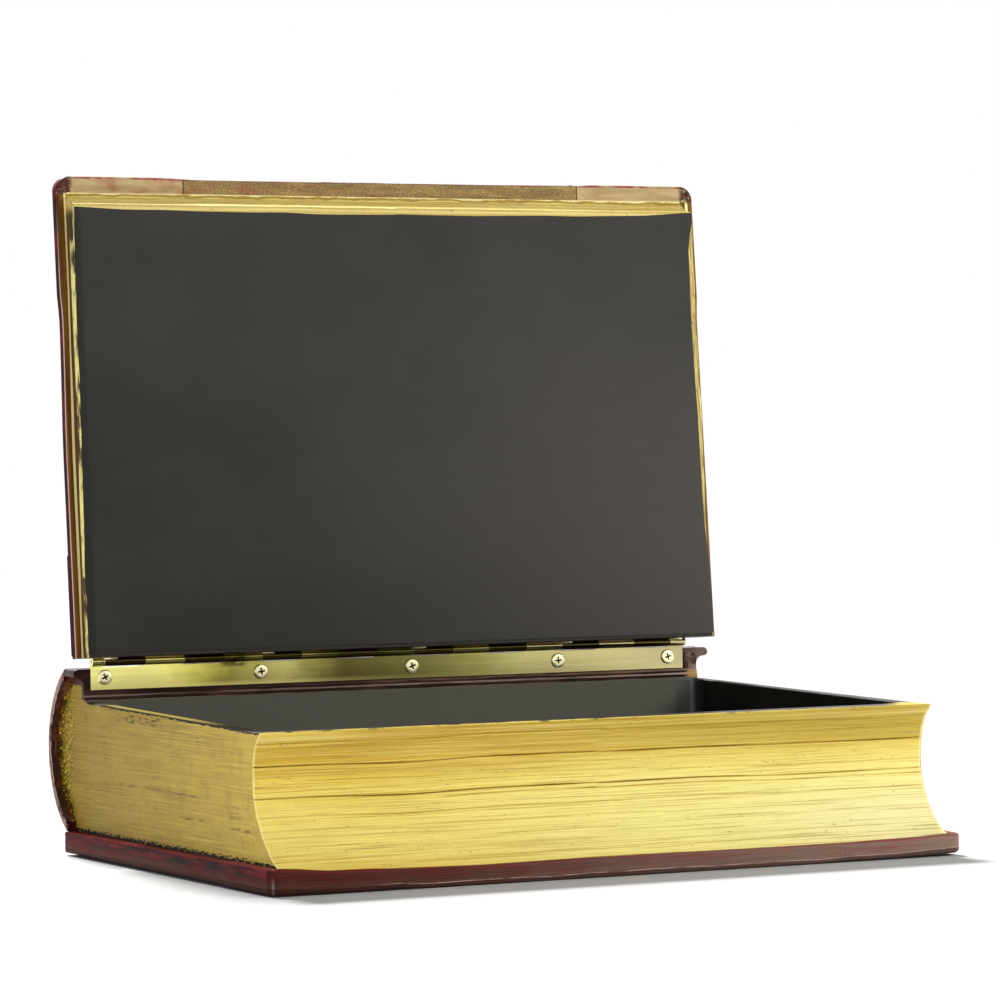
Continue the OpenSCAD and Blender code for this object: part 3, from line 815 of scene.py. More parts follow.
def brass(name, shade, tones=()):
    """Rolled brass, polished and lacquered: a smooth yellow mirror. Tones lists (x, sRGB hex)
    along the leaf, bright and olive bands painted in as reflections; its lower edge gets a
    painted brighter strip, and a dark patch lies high on the left."""
    made, place = material(name, carried=True)
    faint = noise(place, (60, 3, 1.5))
    base = shade
    if tones:
        x, _, z = axes(place)
        drift = noise(place, (10, 10, 6), detail=2, low=0.25, high=0.75)
        # painted highlight: the lower edge goes back to the plain bright brass, most on the left
        foot = before(z, LEAF_LO[2] + 1.2, 2.0) * (beyond(x, -40, 120) * -0.45 + 0.55)
        # a dark patch high on the leaf's left part
        dark_patch = (within(x, -76, -66, 4) * beyond(z, LEAF_LO[2] + 7.2, 1.5)
                  * noise(place, (3, 3, 1.5), high=0.55))
        base = coats(shades(drift * 5.0 - 2.5 + x, -130, 126, *tones), (foot, shade),
                     (dark_patch * 0.8, "#2f2d16"))
    finish(base, faint * 0.05 + 0.17, faint, 0.001, Metallic=1.0)
    return made


def lining_paint():
    """Painted lining board of the lid: matt dark grey, brushed lengthwise, with a few faint
    paler strokes."""
    made, place = material("brushed lining paint")
    x, y, _ = axes(place)
    strokes = noise(place, (55, 0.9, 1), detail=4, rough=0.6)
    base = coats(
        tint("lining"),
        (noise(place, (60, 45, 10)), "#26241f"),
        # painted light: paler towards the right and the hinge end, where more light falls
        (beyond(x, 10, 240) * beyond(y, -20, 150) * 0.9, "#3d3a35"),
        (before(x, -132.2, 1.6), "#14140f"),
        (strokes * 0.12, "#2f2c26"))
    finish(base, strokes * 0.05 + 0.55, strokes, 0.003, Specular_IOR_Level=0.16)
    return made


def paint_inside():
    """Black paint on the floor and the fillets, with a painted grey sheen near the back wall and a
    painted highlight line down the rear right fillet.
    """
    made, place = material("black satin paint", carried=True)
    x, y, _ = axes(place)
    base, rough, marks = black_paint(place)
    # painted sheen near the back wall, and a painted highlight line down the rear right fillet
    back = beyond(y, CAV_Y1 - 9, 1) * before(x, 125.6, 0.8)
    base = coats(base, (back, "#474740"), (back * within(x, 124.1, 125.3, 0.6) * 0.5, "#8c8c86"))
    finish(base, rough, marks, 0.008)
    return made


def wool_felt():
    """Pressed wool felt: dull, with fine fuzz of about half a millimetre."""
    made, place = material("pressed wool felt")
    fuzz = noise(place, (0.5, 0.5, 0.5), detail=5)
    finish(mix(fuzz, tint("felt"), "#4b3830"), 0.9, fuzz, 0.25, Sheen_Weight=0.3)
    return made


def steel_wire():
    """Drawn steel wire of the pin."""
    made, place = material("drawn steel wire", carried=True)
    drawn = noise(place, (12, 0.3, 0.3))
    finish(mix(drawn, tint("steel"), "#77746c"), 0.35, drawn, 0.01, Metallic=1.0)
    return made


def screw_plating():
    """Thin pale brass plating on steel, satin, with painted shade in the sunk cross."""
    made, place = material("brass-plated screws")
    worn = noise(place, (1.2, 1.2, 1.2))
    # painted shade: the sunk cross darkened
    base = coats(tint("screw"), (worn, "#f6e6a8"), (mark(place, "sunk"), "#2a2112"))
    finish(base, 0.34, worn, 0.01, Metallic=1.0)
    return made


# painted highlights along the ledge's step edges, stronger to the right
STEP_HIGHLIGHTS = (   # pale lines on the ledge: heights over the rim, strength at the left and right
    (1.8, 2.45, 0.45, 0.95, "#a58e82"), (0.25, 0.6, 0.5, 0.5, "#a9a08c"),
    (3.25, 4.0, 0.0, 0.8, "#8d7561"))


def rail_paint():
    """Dark burgundy paint, with the page ends below the rim gilded, the cavity side black under a
    painted grey sheen, painted pale highlights along the ledge's steps, the more the further
    right, and a painted pale highlight on the wall right of the leaf."""
    made, place = material("painted hinge rail")
    x, y, z = axes(place)
    cloud = noise(place, (22, 4, 3), detail=4, low=0.4)
    streaks = noise(place, (14, 3, 0.7), detail=4, high=0.6)
    toward = beyond(x, 10, 240)
    front = before(y, FACE_Y + 0.4, 0.5)
    base = mix(cloud, "#251814", "#452c26")
    for lo, hi, least, most, code in STEP_HIGHLIGHTS:
        line = within(z, RIM_BACK + lo, RIM_BACK + hi, 0.12) * streaks * front
        base = mix(line * (toward * (most - least) + least), base, code)
    # painted highlight: pale grey on the wall right of the leaf, with amber low down
    corner = beyond(x, LEAF_HI[0] + 1.5, 4) * noise(place, (3, 3, 3), low=0.35, high=0.6)
    amber = corner * within(z, RIM_BACK + 0.6, RIM_BACK + 3.6, 0.6)
    end = beyond(abs(x), HALF - 0.25, 0.1)
    crumble = noise(place, (2, 2, 2))
    low = either(beyond(crumble * -1.6 + y, FACE_Y + 1.6, 0.4),
                 before(z - crumble, RIM_BACK + 0.1, 0.5))
    gilded = end * low
    gilt, comb = gilt_end(place, y, z)
    flame = end * (1 - low) * noise(place, (3, 3, 3), low=0.5, high=0.65)
    base = coats(
        base,
        (corner * 0.75, "#8f7a70"),
        (amber * 0.7, "#b08d45"),
        (gilded, gilt),
        # painted sheen: the black cavity side of the wall painted grey
        ((1 - end) * before(z, RIM_BACK + 0.45, 0.2), "#57564e"),
        (flame * 0.35, "#6c1a22"))
    grain = noise(place, (30, 0.8, 0.8), detail=4) * 0.2
    finish(base, blend(gilded, 0.35, 0.5), blend(gilded, grain, comb), 0.1,
           Specular_IOR_Level=0.05)
    return made


def lid_gilt(board_z, lip_y):
    """Gilding of the lid's pages, more worn than on the box. On the flare: a creamy ragged
    lip, an ochre line behind it and gold streaks. On the ends: dark brown next to the board,
    then sooty olive with remains of gold. On the underside: a pale margin."""
    made, place = material("gilt lid pages")
    x, y, z = axes(place)
    wide = mark(place, "own")
    ragged = noise(place, (9, 9, 3), detail=4)
    streak = noise(place, (45, 0.7, 0.7), detail=4, rough=0.6)
    comb = noise(place, (3, 24, 0.5), detail=4, low=0.42, high=0.62)
    remains = (noise(place, (0.6, 12, 8), detail=4, low=0.4, high=0.58)
               * (1 - noise(place, (9, 14, 9), detail=4, low=0.56, high=0.66)))
    wear = noise(place, (2, 3, 1), detail=4, low=0.62)
    at = ragged * 0.9 + y
    right = beyond(x, 0, 1)
    margin = beyond(right * 3.2 + wide, HALF - 1.6, 0.4) * beyond(y, lip_y + 9, 2)
    depth = board_z - z
    layers = coats(
        "#2c2213",
        (comb, "#a08a48"),
        (before(depth, 3.5, 0.5) * noise(place, (9, 30, 1.5), low=0.15, high=0.4), "#542e1c"),
        (beyond(depth, 3.8, 0.4), mix(remains, "#3c2c14", "#f6e890")),
        (before(y, lip_y + 8, 5), mix(ragged, "#a8853a", "#e2cf74")))
    base = coats(
        "#b59642",
        (streak, "#dccb78"),
        (within(at, lip_y + 1.9, lip_y + 2.7, 0.5) * 0.75, "#8d6b1f"),
        # partly painted highlight: the creamy lip along the flare's edge
        (before(at, lip_y + 1.7, 0.4) * 0.85, "#efe4a4"),
        (beyond(y, lip_y + 6.2, 1.2) * 0.5, "#937d3c"),
        (within(y, lip_y + 7.2, lip_y + 8.4, 0.5) * 0.3, "#ece09a"),
        (margin, mix(remains, mix(right, "#3c2f18", "#8c7840"), "#c4b064")),
        (beyond(y, AXIS_Y - 3.4, 0.3), "#221e18"),
        (beyond(wide, HALF - 0.5, 0.25), layers),
        (wear * 0.5, "#5a4420"))
    finish(base, 0.5, streak + comb, 0.1, Specular_IOR_Level=0.15)
    return made


# Page relief
PAGE_CUTS = (   # height, from x, to x, share of the cut depth, width: in millimetres
    (53.0, -60, 60, 0.25, 0.30), (50.4, -140, 140, 0.55, 0.34), (48.6, -140, -60, 0.4, 0.5),
    (46.4, -90, 140, 0.25, 0.3), (42.3, -140, 140, 1.0, 0.30), (39.0, -60, 90, 0.25, 0.25),
    (37.0, -140, 20, 0.35, 0.28), (34.7, 20, 140, 0.4, 0.26), (33.4, -120, 10, 0.3, 0.3),
    (31.2, -140, 140, 0.95, 0.30), (29.5, -64, 140, 0.7, 0.26), (27.2, -140, -20, 0.3, 0.28),
    (24.9, -140, 140, 0.55, 0.28), (21.0, -90, 60, 0.25, 0.3), (17.4, 10, 140, 0.3, 0.25),
    (15.0, -140, 100, 0.3, 0.25), (12.0, 40, 140, 0.45, 0.25))


def page_lines(x, z):
    """How deep the fore-edge lies below its smooth shape, in millimetres, and how much of that
    is a cut: noise stretched along X at three page scales, plus the cuts between gatherings,
    each a bell curve across its wandering height."""
    level = z + 0.45 * wave(x, z, 38, 30, 3)
    rough = (0.36 * wave(x, level, 60, 0.5, 5) + 0.34 * wave(x, level, 90, 1.2, 7)
             + 0.30 * wave(x, level, 140, 3.6, 9))
    cuts = np.zeros_like(z)
    for n, (height, x0, x1, share, width) in enumerate(PAGE_CUTS):
        window = ramp(x, x0 - 6, x0 + 6) * fall(x, x1 - 6, x1 + 6)
        window = window * (0.72 + 0.28 * wave(x, 0 * x + n, 17, 1, 11))
        cuts = np.maximum(cuts, share * window * np.exp(-((level - height) / width) ** 2))
    return size("page_relief") * (0.55 + 0.6 * rough) + size("page_cut") * cuts, cuts


def end_lines(y, z):
    """How deep head and tail lie below their plane: fine noise stretched along Y."""
    return 0.16 * (0.6 + 0.35 * wave(y, z, 45, 0.6, 21) + 0.35 * wave(y, z, 70, 1.8, 23))


def cove_y(z):
    """Depth of the hollow fore-edge at a height z: one arc through foot and rim, with the
    hollow under the rim's lip drawn in by a millimetre."""
    setback, deep = size("rim_setback"), size("cove_depth")
    height = rim_z(FOOT_Y + setback) - BOARD_TOP
    share = setback / deep
    middle = (height - math.sqrt((1 - share) * (height ** 2 + setback ** 2))) / share
    r = arc_radius(middle, deep)
    arc = FOOT_Y + deep - r + np.sqrt(np.maximum(r * r - (z - BOARD_TOP - middle) ** 2, 0))
    down = BOARD_TOP + height - z
    return arc + ramp(down, 0.3, 4.5) * fall(down, 7, 18)


# Operators
class Step:
    """What the operators share: an undo step."""
    bl_options = {"REGISTER", "UNDO"}


class BOOKBOX_OT_pages(Step, bpy.types.Operator):
    """Build the gilt fore-edge, head, tail and rounded back of the page block"""
    bl_idname = "bookbox.pages"
    bl_label = "Page block"

    def execute(self, context):
        self.fore_edge()
        for s, side in SIDES:
            self.page_ends(s, side)
        self.rounded_back()
        return {"FINISHED"}

    def fore_edge(self):
        """A softened box in (x, v, w), where v runs from the front face to the inside and w
        up. Its front face is bent to the arc and sunk by the page lines."""
        radius, deep = 0.7, 10.0
        high = float(rim_z(FOOT_Y + size("rim_setback"))) - BOARD_TOP
        grid, faces = lattice(stations(-HALF, HALF, 2.2, radius), stations(0, deep, 2.5, radius),
                              stations(0, high, 0.15, radius))
        lo, hi = np.array([-HALF, 0, 0.0]), np.array([HALF, deep, high])
        x, v, w = soften(grid, lo, hi, radius, (1, 1, 1, 0, 0, 1)).T
        front = cove_y(BOARD_TOP + w)
        share = v / deep
        y = front + share * (CAV_Y0 - front)
        z = BOARD_TOP + w * (rim_z(y) + RIM_RISE * (1 - share) - BOARD_TOP) / high
        z = z - (sag(x) + 0.25) * fall(z, BOARD_TOP, BOARD_TOP + 13) * fall(share, 0, 0.9)
        at_front = fall(v, 0, 1.2)
        depth, cuts = page_lines(x, z)
        y = y + at_front * depth
        own = np.abs(x)
        for s, _ in SIDES:
            x = x + s * (at_end(x, s, 14) * flare(s, y, z) - at_end(x, s, 0.6) * end_lines(y, z))
        piece("fore_edge", np.column_stack([x, y, z]), faces,
              gilt_pages("gilt fore-edge", "front"), "box", "gilt_pages", ["front_wall"],
              cut=cuts * at_front, own=own)

    def page_ends(self, s, side):
        """Head or tail: a softened slab whose top follows the rim, with its outer face flared
        and sunk by the page lines. It is worked out on the left and mirrored for the right."""
        radius, top = 0.6, 50.0
        lo, hi = np.array([SIDE_LO[0], CAV_Y0, BOARD_TOP]), np.array([SIDE_HI[0], CAV_Y1, top])
        grid, faces = lattice(stations(lo[0], hi[0], 1.2, radius), stations(lo[1], hi[1], 2.2),
                              stations(lo[2], hi[2], 0.3, radius))
        x, y, z = soften(grid, lo, hi, radius, (1, 1, 0, 0, 0, 1)).T
        z = BOARD_TOP + (z - BOARD_TOP) * (rim_z(y) - BOARD_TOP) / (top - BOARD_TOP)
        x = x + at_end(x, -1, 0.6) * end_lines(y, z) - at_end(x, -1, 4) * flare(s, y, z)
        piece(side + "_page_ends", np.column_stack([-s * x, y, z]), faces,
              gilt_pages("gilt " + side + " end", side), "box", "gilt_pages", [side + "_wall"])

    def rounded_back(self):
        """Rounded back of the pages: a lens between the wall's back and an arc, crumbling at
        its ends."""
        lo, hi = span("spine_core")
        half, middle = (hi[2] - lo[2]) / 2, (hi[2] + lo[2]) / 2
        r = arc_radius(half, hi[1] - lo[1])
        grid, faces = lattice(stations(-HALF, HALF, 8, 1), np.linspace(0, 1, 26),
                              np.linspace(-1, 1, 110))
        x, share, up = grid.T
        z = middle + half * 0.995 * up
        y = lo[1] + share * (hi[1] - r + np.sqrt(r * r - (z - middle) ** 2) - lo[1])
        crumble = 0.5 * (0.7 + wave(y, z, 1.6, 1.4, 31)) * ramp(share, 0.3, 1)
        for s, _ in SIDES:
            x = x - s * at_end(x, s, 0.5) * (end_lines(y, z) + crumble)
        piece("rounded_back", np.column_stack([x, y, z]), faces,
              gilt_pages("gilt rounded back", "core"), "box", "gilt_pages", ["spine_core"])


class BOOKBOX_OT_base(Step, bpy.types.Operator):
    """Build the lower board, its leather corners and its felt"""
    bl_idname = "bookbox.base"
    bl_label = "Lower board"

    def execute(self, context):
        edge, radius, leg = size("board_edge"), size("base_corner"), size("patch_leg")
        p, faces = slab(BASE_LO, BASE_HI, (2.2, 2.2, 0.8), edge)
        p = round_corners(p, BASE_LO, BASE_HI, radius)
        piece("lower_board", settle(p), faces, board_leather("marbled burgundy leather"), "box",
              "burgundy_board", ["base_board"], rise=p[:, 2])
        leather = board_leather("burgundy corner leather")
        for s, side in SIDES:
            p, faces = corner_skin(BASE_LO, BASE_HI, radius, edge, FOOT_Y - BASE_LO[1],
                                   BASE_HI[0] - HALF, 1, leg, 14)
            p[:, 0] *= -s
            piece("lower_" + side + "_corner", settle(p), faces, leather, "box", "patch_leather",
                  ["base_corner_" + side], rise=np.clip(p[:, 2], BASE_LO[2], BASE_HI[2]))
        self.felt(leg + 1)
        return {"FINISHED"}

    def felt(self, cut):
        """Felt sheet with its front corners cut off beside the leather ones: what lies past
        the cut moves back onto it."""
        p, faces = slab(FELT_LO, FELT_HI, (4, 4, 0.5), 0.35)
        past = 0.5 * np.minimum(p[:, 1] - BASE_LO[1] + BASE_HI[0] - np.abs(p[:, 0]) - cut, 0)
        p[:, 1] -= past
        p[:, 0] += np.sign(p[:, 0]) * past
        piece("felt_foot", p, faces, wool_felt(), "box", "felt", ["base_felt"])


def corner_skin(lo, hi, radius, edge, front_square, side_square, up, leg, taper):
    """Leather corner over a board's left front corner, as two grids a leather's thickness
    apart. One parameter runs along the board's outline, from a leg down the side, round
    the arc and as far along the front. The other runs across: in from the page line over the
    inner face (the upper one if up is 1, the lower one if it is -1), over the softened edge,
    down the side, and over the other face in to the diagonal cut. The skin thins out towards
    its cut edges."""
    arc = radius * math.pi / 2
    s = np.concatenate([np.linspace(-leg, -arc / 2 - 0.2, 60), np.linspace(-arc / 2, arc / 2, 13),
                        np.linspace(arc / 2 + 0.2, leg, 60)])
    turn = np.clip(s / arc + 0.5, 0, 1) * math.pi / 2
    normal = np.column_stack([-np.cos(turn), -np.sin(turn)])
    past = np.maximum(np.abs(s) - arc / 2, 0)
    outline = np.column_stack([lo[0] + radius + radius * normal[:, 0] + np.where(s > 0, past, 0),
                               lo[1] + radius + radius * normal[:, 1] + np.where(s < 0, past, 0)])
    inward = np.minimum(np.abs(s) * 0.96 + 0.9, np.maximum(leg - np.abs(s), 0.05))
    square = np.where(s < 0, side_square, front_square) - 0.25
    wide = np.maximum(inward, edge + 0.05)
    narrow = np.maximum(np.minimum(inward, square), edge + 0.05)
    inner_z, outer_z = (hi[2], lo[2]) if up > 0 else (lo[2], hi[2])
    flat = np.linspace(1, 0, 6)[:-1]
    bend = [(edge * (1 - math.sin(a)), edge * (1 - math.cos(a)), math.sin(a), math.cos(a))
            for a in np.linspace(0, math.pi / 2, 6)]
    rows = [(edge + (narrow - edge) * t, inner_z, 0.0, up) for t in flat]
    rows += [(into, inner_z - up * drop, out, up * lean) for into, drop, out, lean in bend]
    rows += [(0.0, inner_z - up * (edge + (hi[2] - lo[2] - 2 * edge) * t), 1.0, 0.0)
             for t in np.linspace(0, 1, 6)[1:-1]]
    rows += [(into, outer_z + up * drop, out, -up * lean) for into, drop, out, lean in bend[::-1]]
    rows += [(edge + (wide - edge) * t, outer_z, 0.0, -up) for t in flat[::-1]]
    ends = ramp(leg - np.abs(s), 0, taper)
    grids = []
    for level in (1, 0):
        layer = []
        for n, (into, z, out, lean) in enumerate(rows):
            fade = ends * ramp(min(n, len(rows) - 1 - n), -0.5, 2)
            off = 0.03 + level * (0.04 + (size("leather") - 0.07) * fade)
            xy = outline + normal * (out * off - into)[:, None]
            layer.append(np.column_stack([xy, z + lean * off]))
        grids.append(np.stack(layer, axis=1))
    return wrap(*grids)


def wrap(outer, inner):
    """One closed skin from two grids of points of the same shape."""
    n, m = outer.shape[:2]
    index, faces = lattice(np.arange(n, dtype=float), np.arange(m, dtype=float),
                           np.array([0.0, 1.0]))
    i, j, k = index.round().astype(int).T
    return np.where(k[:, None] == 1, outer[i, j], inner[i, j]), faces


class BOOKBOX_OT_spine(Step, bpy.types.Operator):
    """Build the rounded spine and its raised bands"""
    bl_idname = "bookbox.spine"
    bl_label = "Spine"

    def execute(self, context):
        half, middle = (TOP_Z - BOARD_TOP) / 2, (TOP_Z + BOARD_TOP) / 2
        r = arc_radius(half, SHELL_HI[1] - BACK_Y)
        axis_y = SHELL_HI[1] - r
        self.cover(r, axis_y, half, middle)
        self.bands(r, axis_y, middle)
        return {"FINISHED"}

    def cover(self, r, axis_y, half, middle):
        """A softened box in (x, depth into the cover, arc length), bent round the spine's
        axis, with its cut ends sunk in two rings between the layers."""
        thick = SHELL_HI[1] - span("spine_core")[1][1]
        long, turn, radius = SHELL_HI[0], math.asin(half / r) * r, 1.4
        lo, hi = np.array([-long, 0, -turn]), np.array([long, thick, turn])
        grid, faces = lattice(stations(-long, long, 3.2, radius),
                              stations(0, thick, 0.35, radius), stations(-turn, turn, 0.9, 1.0))
        x, depth, along = soften(grid, lo, hi, radius, (1, 1, 1, 1, 0, 0)).T
        ring = (0.35 * np.exp(-((depth - 1.7) / 0.3) ** 2) + 0.45 * np.exp(
            -((depth - 3.2) / 0.3) ** 2) + 0.15 * wave(along, depth, 2.2, 0.8, 51)
            * ramp(depth, 1.0, 1.6))
        for s, _ in SIDES:
            x = x - s * fall(long - s * x, 0, 1.0) * np.maximum(ring, 0)
        y = np.maximum(axis_y + (r - depth) * np.cos(along / r), BACK_Y + 0.02)
        z = np.clip(middle + (r - depth) * np.sin(along / r), BOARD_TOP + 0.02, TOP_Z)
        piece("spine_cover", np.column_stack([x, y, z]), faces,
              dark_leather("layered spine leather", layered=True), "box", "patch_leather",
              ["spine_shell"], layer=grid[:, 1], end=np.maximum(
                  fall(long - np.abs(grid[:, 0]), 0.1, 1), ramp(grid[:, 1], 3.9, 4.2)))

    def bands(self, r, axis_y, middle):
        """Cords under the leather: a rounded swell across X, faded out at both ends."""
        lo, _ = span("spine_bands")
        count, pitch, width = 5, 45.0, 10.0
        foot = math.atan2(lo[2] - middle + 0.6, lo[1] - axis_y + 0.6)
        grid, faces = lattice(np.linspace(-1, 1, 21), np.array([0.0, 1.0]),
                              np.linspace(foot, -foot, 90))
        across, level, angle = grid.T
        end = ramp(-foot - np.abs(angle), 0, 0.10)
        swell = np.cos(across * math.pi / 2) ** 1.5 * (0.25 + 0.75 * end)
        out = r + 0.05 + level * (0.03 + (size("band_height") - 0.05) * swell)
        band = np.column_stack([width / 2 * (0.8 + 0.2 * end) * across,
                                axis_y + out * np.cos(angle), middle + out * np.sin(angle)])
        places = [((k - (count - 1) / 2) * pitch, 0, 0) for k in range(count)]
        piece("raised_bands", np.concatenate([band + place for place in places]),
              np.concatenate([faces + k * len(grid) for k in range(count)]), spine_leather(),
              "box", "patch_leather", ["spine_bands"])


class BOOKBOX_OT_hinge_wall(Step, bpy.types.Operator):
    """Build the wall that carries the hinge, its stepped ledge and the strip over it"""
    bl_idname = "bookbox.hinge_wall"
    bl_label = "Hinge wall"

    def execute(self, context):
        top = STRIP_HI[2] - COVER
        full, seat = self.section(FACE_Y, top), self.section(REBATE_Y, top)
        low = self.section(FACE_Y, RIM_BACK)
        sections = [(-HALF + 0.1, full), (SEAT_LO, full), (SEAT_LO + JUMP, seat), (SEAT_HI, seat),
                    (SEAT_HI + JUMP, full), (WALL_END, full), (WALL_END + JUMP, low),
                    (HALF - 0.1, low)]
        p, faces, caps = loft([np.column_stack([np.full(len(yz), x), yz]) for x, yz in sections])
        piece("hinge_rail", p, faces, rail_paint(), "box", "dark_wood", ["hinge_wall"], caps,
              sharp=30)
        self.strip()
        return {"FINISHED"}

    def section(self, front_y, top):
        """Outline of the wall in (y, z) up to a height: its back, its top with a short
        chamfer, and the steps of the ledge down to the inside."""
        c = 0.22
        low, mid, high = (LEAF_LO[2] - down for down in (2.3, 1.0, 0.2))
        outline = np.array([
            (CAV_Y1, BOARD_TOP), (BACK_Y, BOARD_TOP), (BACK_Y, top), (front_y + c, top),
            (front_y, top - c), (front_y, high), (FACE_Y, high), (FACE_Y, mid + c),
            (FACE_Y - c, mid), (FACE_Y - 0.4, mid - c), (FACE_Y - 0.4, low + c),
            (FACE_Y - 0.4 - c, low), (FACE_Y - 0.8, low - c), (FACE_Y - 0.8, RIM_BACK + 0.3),
            (FACE_Y - 1.1, RIM_BACK), (CAV_Y1 + 0.3, RIM_BACK), (CAV_Y1, RIM_BACK - 0.3)])
        return np.minimum(outline, (np.inf, top))

    def strip(self):
        """Strip of the cover over the wall, thin over the wall, thick with a hollow fillet past
        the wall's ends and rounded at the tips. A bead runs along its front."""
        tip, cove, edge = 3.4, 3.0, 0.35
        xs = np.unique(np.concatenate([
            np.linspace(STRIP_LO[0], -HALF + 3, 40), [-HALF - JUMP, -HALF + JUMP],
            np.linspace(-HALF + 3, WALL_END - 3, 60), [SEAT_LO, SEAT_LO + JUMP],
            [SEAT_HI, SEAT_HI + JUMP], [WALL_END - JUMP, WALL_END + JUMP],
            np.linspace(WALL_END - 3, STRIP_HI[0], 50)]))
        grid, faces = lattice(xs, stations(0, 1, 0.05, 0.05), stations(0, 1, 0.12, 0.1))
        x, back, up = grid.T
        out = np.where(x < 0, -HALF - x, x - WALL_END)
        reach = np.where(x < 0, -HALF - STRIP_LO[0], STRIP_HI[0] - WALL_END)
        thick = np.where(out > 0, tip + quarter(cove, cove - out), COVER)
        r = tip / 2
        pinch = quarter(r, out - (reach - r))
        top = TOP_Z - np.where(out > 0, pinch, 0)
        bottom = TOP_Z - np.where(out > 0, np.maximum(thick - pinch, r), thick)
        bottom = np.minimum(bottom, top - 0.01)
        seated = (x > SEAT_LO + JUMP / 2) & (x < SEAT_HI + JUMP / 2)
        front = np.where(seated, REBATE_Y, FACE_Y)
        y = front + back * (BACK_Y - 0.02 - front)
        z = bottom + up * (top - bottom)
        for near in (y - front, BACK_Y - y):
            z = z - (up > 0.5) * quarter(edge, edge - near)
        bead = (ramp(y - front, 0.2, 1.2) * fall(y - front, 2.2, 4.2)
                * ramp(x, LEAF_LO[0] + 19.5, LEAF_LO[0] + 20.5) * fall(x, LEAF_HI[0] - 1, LEAF_HI[0]))
        z = z + (up > 0.9) * (0.05 * wave(x, y, 12, 4, 61) - 0.05 + 0.75 * bead)
        piece("cover_strip", np.column_stack([x, y, z]), faces, dark_leather("strip leather"),
              "box", "patch_leather", ["joint_strip"])


class BOOKBOX_OT_cavity(Step, bpy.types.Operator):
    """Paint the floor and the corner fillets inside the box"""
    bl_idname = "bookbox.cavity"
    bl_label = "Inside"

    def execute(self, context):
        paint = paint_inside()
        dress("cavity_floor", paint)
        dress("corner_coves", paint)
        return {"FINISHED"}


class BOOKBOX_OT_hinge(Step, bpy.types.Operator):
    """Finish both leaves of the piano hinge and its pin"""
    bl_idname = "bookbox.hinge"
    bl_label = "Hinge"

    def execute(self, context):
        dress("body_leaf", brass("polished brass leaf", tint("brass"), LEAF_REFLECTION_TONES))
        dress("lid_leaf", brass("tarnished brass leaf", "#544823"))
        dress("hinge_pin", steel_wire())
        return {"FINISHED"}


class BOOKBOX_OT_screws(Step, bpy.types.Operator):
    """Build the cross-head screws of both leaves"""
    bl_idname = "bookbox.screws"
    bl_label = "Screws"

    def execute(self, context):
        plating = screw_plating()
        z = sum(corner[2] for corner in span("body_screws")) / 2
        leaf_face = LEAF_HI[1] - 0.9
        first, pitch, last = LEAF_LO[0] + 5.7, 63.7, LEAF_HI[0] - 7
        xs = [first + pitch * k for k in range(4)] + [last]
        points, tubes, caps, sunk = [], [], [], []
        for k, (x, turn) in enumerate(zip(xs, (0.5, 0.15, 0.35, 0.05, 0.3))):
            p, faces, ends, cross = self.screw(turn)
            points.append(np.column_stack([x + p[:, 0], leaf_face - p[:, 2], z + p[:, 1]]))
            tubes.append(faces + k * len(p))
            caps += [[v + k * len(p) for v in cap] for cap in ends]
            sunk.append(cross)
        points, tubes, sunk = (np.concatenate(part) for part in (points, tubes, sunk))
        piece("wall_screws", points, tubes, plating, "box", "screw_brass", ["body_screws"], caps,
              sunk=sunk)
        mirrored = points * (1, -1, 1) + (0, 2 * AXIS_Y, 0)
        piece("lid_edge_screws", mirrored, tubes, plating, "lid", "screw_brass", ["lid_screws"],
              caps, sunk=sunk)
        return {"FINISHED"}

    def screw(self, turn):
        """A lathe of (radius, height) rings, from the shank's tip to the head's crown, with a
        cross sunk into the crown: two bars that deepen towards the middle."""
        r, height, edge = size("head_radius"), 0.74, 0.34
        shank, long = 1.1, 7.0
        rings = [(0.15, -long), (shank, -0.75 * long), (shank, -0.02), (r - 0.05, 0.0),
                 (r, 0.08), (r, edge)]
        rings += [(r * (1 - t), edge + (height - edge) * math.sqrt(1 - (1 - t) ** 5))
                  for t in np.linspace(0, 1, 26)[1:-1]]
        rings = np.array(rings + [(0.02, height)])
        angle = np.linspace(0, 2 * math.pi, 64, endpoint=False)
        x, y = rings[:, :1] * np.cos(angle), rings[:, :1] * np.sin(angle)
        a, b = x * math.cos(turn) + y * math.sin(turn), y * math.cos(turn) - x * math.sin(turn)
        bars = [np.clip(1 - np.abs(u) / 0.36, 0, 1) * ramp(1.5 - np.abs(v), 0, 0.5)
                for u, v in ((a, b), (b, a))]
        cross = np.where(rings[:, 1:] > 0.36, ramp(np.maximum(*bars), 0.0, 0.5), 0.0)
        return *loft(np.stack([x, y, rings[:, 1:] - 0.55 * cross], axis=-1)), cross.ravel()


def page_front():
    """Where the lid's pages meet the rim in front, before they flare."""
    return FOOT_Y + size("rim_setback") + size("lid_setback")


def lid_levels():
    """Underside and top of the closed lid's board, and its front and rear edge."""
    z0 = RIM_BACK + LID_GAP + size("lid_pages")
    return (z0, z0 + size("lid_board"), page_front() - size("lid_flare") - size("lid_front"),
            AXIS_Y - 1.0)


def lid_under(y):
    """Underside of the closed lid's pages, which follows the rim."""
    return rim_z(y) + LID_GAP


def lid_taper(p):
    """Inward lean of the lid's left edge, from nothing at the hinge to 0.8 mm in front."""
    return 0.8 * fall(p[:, 1], -40, 15) * ramp(-p[:, 0], 90, 132)


def lid_lean(share):
    """How far the lid's pages lean out to the left, along their share of the depth."""
    return LID_SKEW * (ramp(share, -0.5, 1.5) * 2 - 0.3) / 1.7


def lid_inset(strip):
    """How far the right end of the lid's pages lies inside its plane, from the front back."""
    return 1.3 - 0.4 * ramp(strip, 20, 100) - 0.85 * ramp(strip, 125, 165)


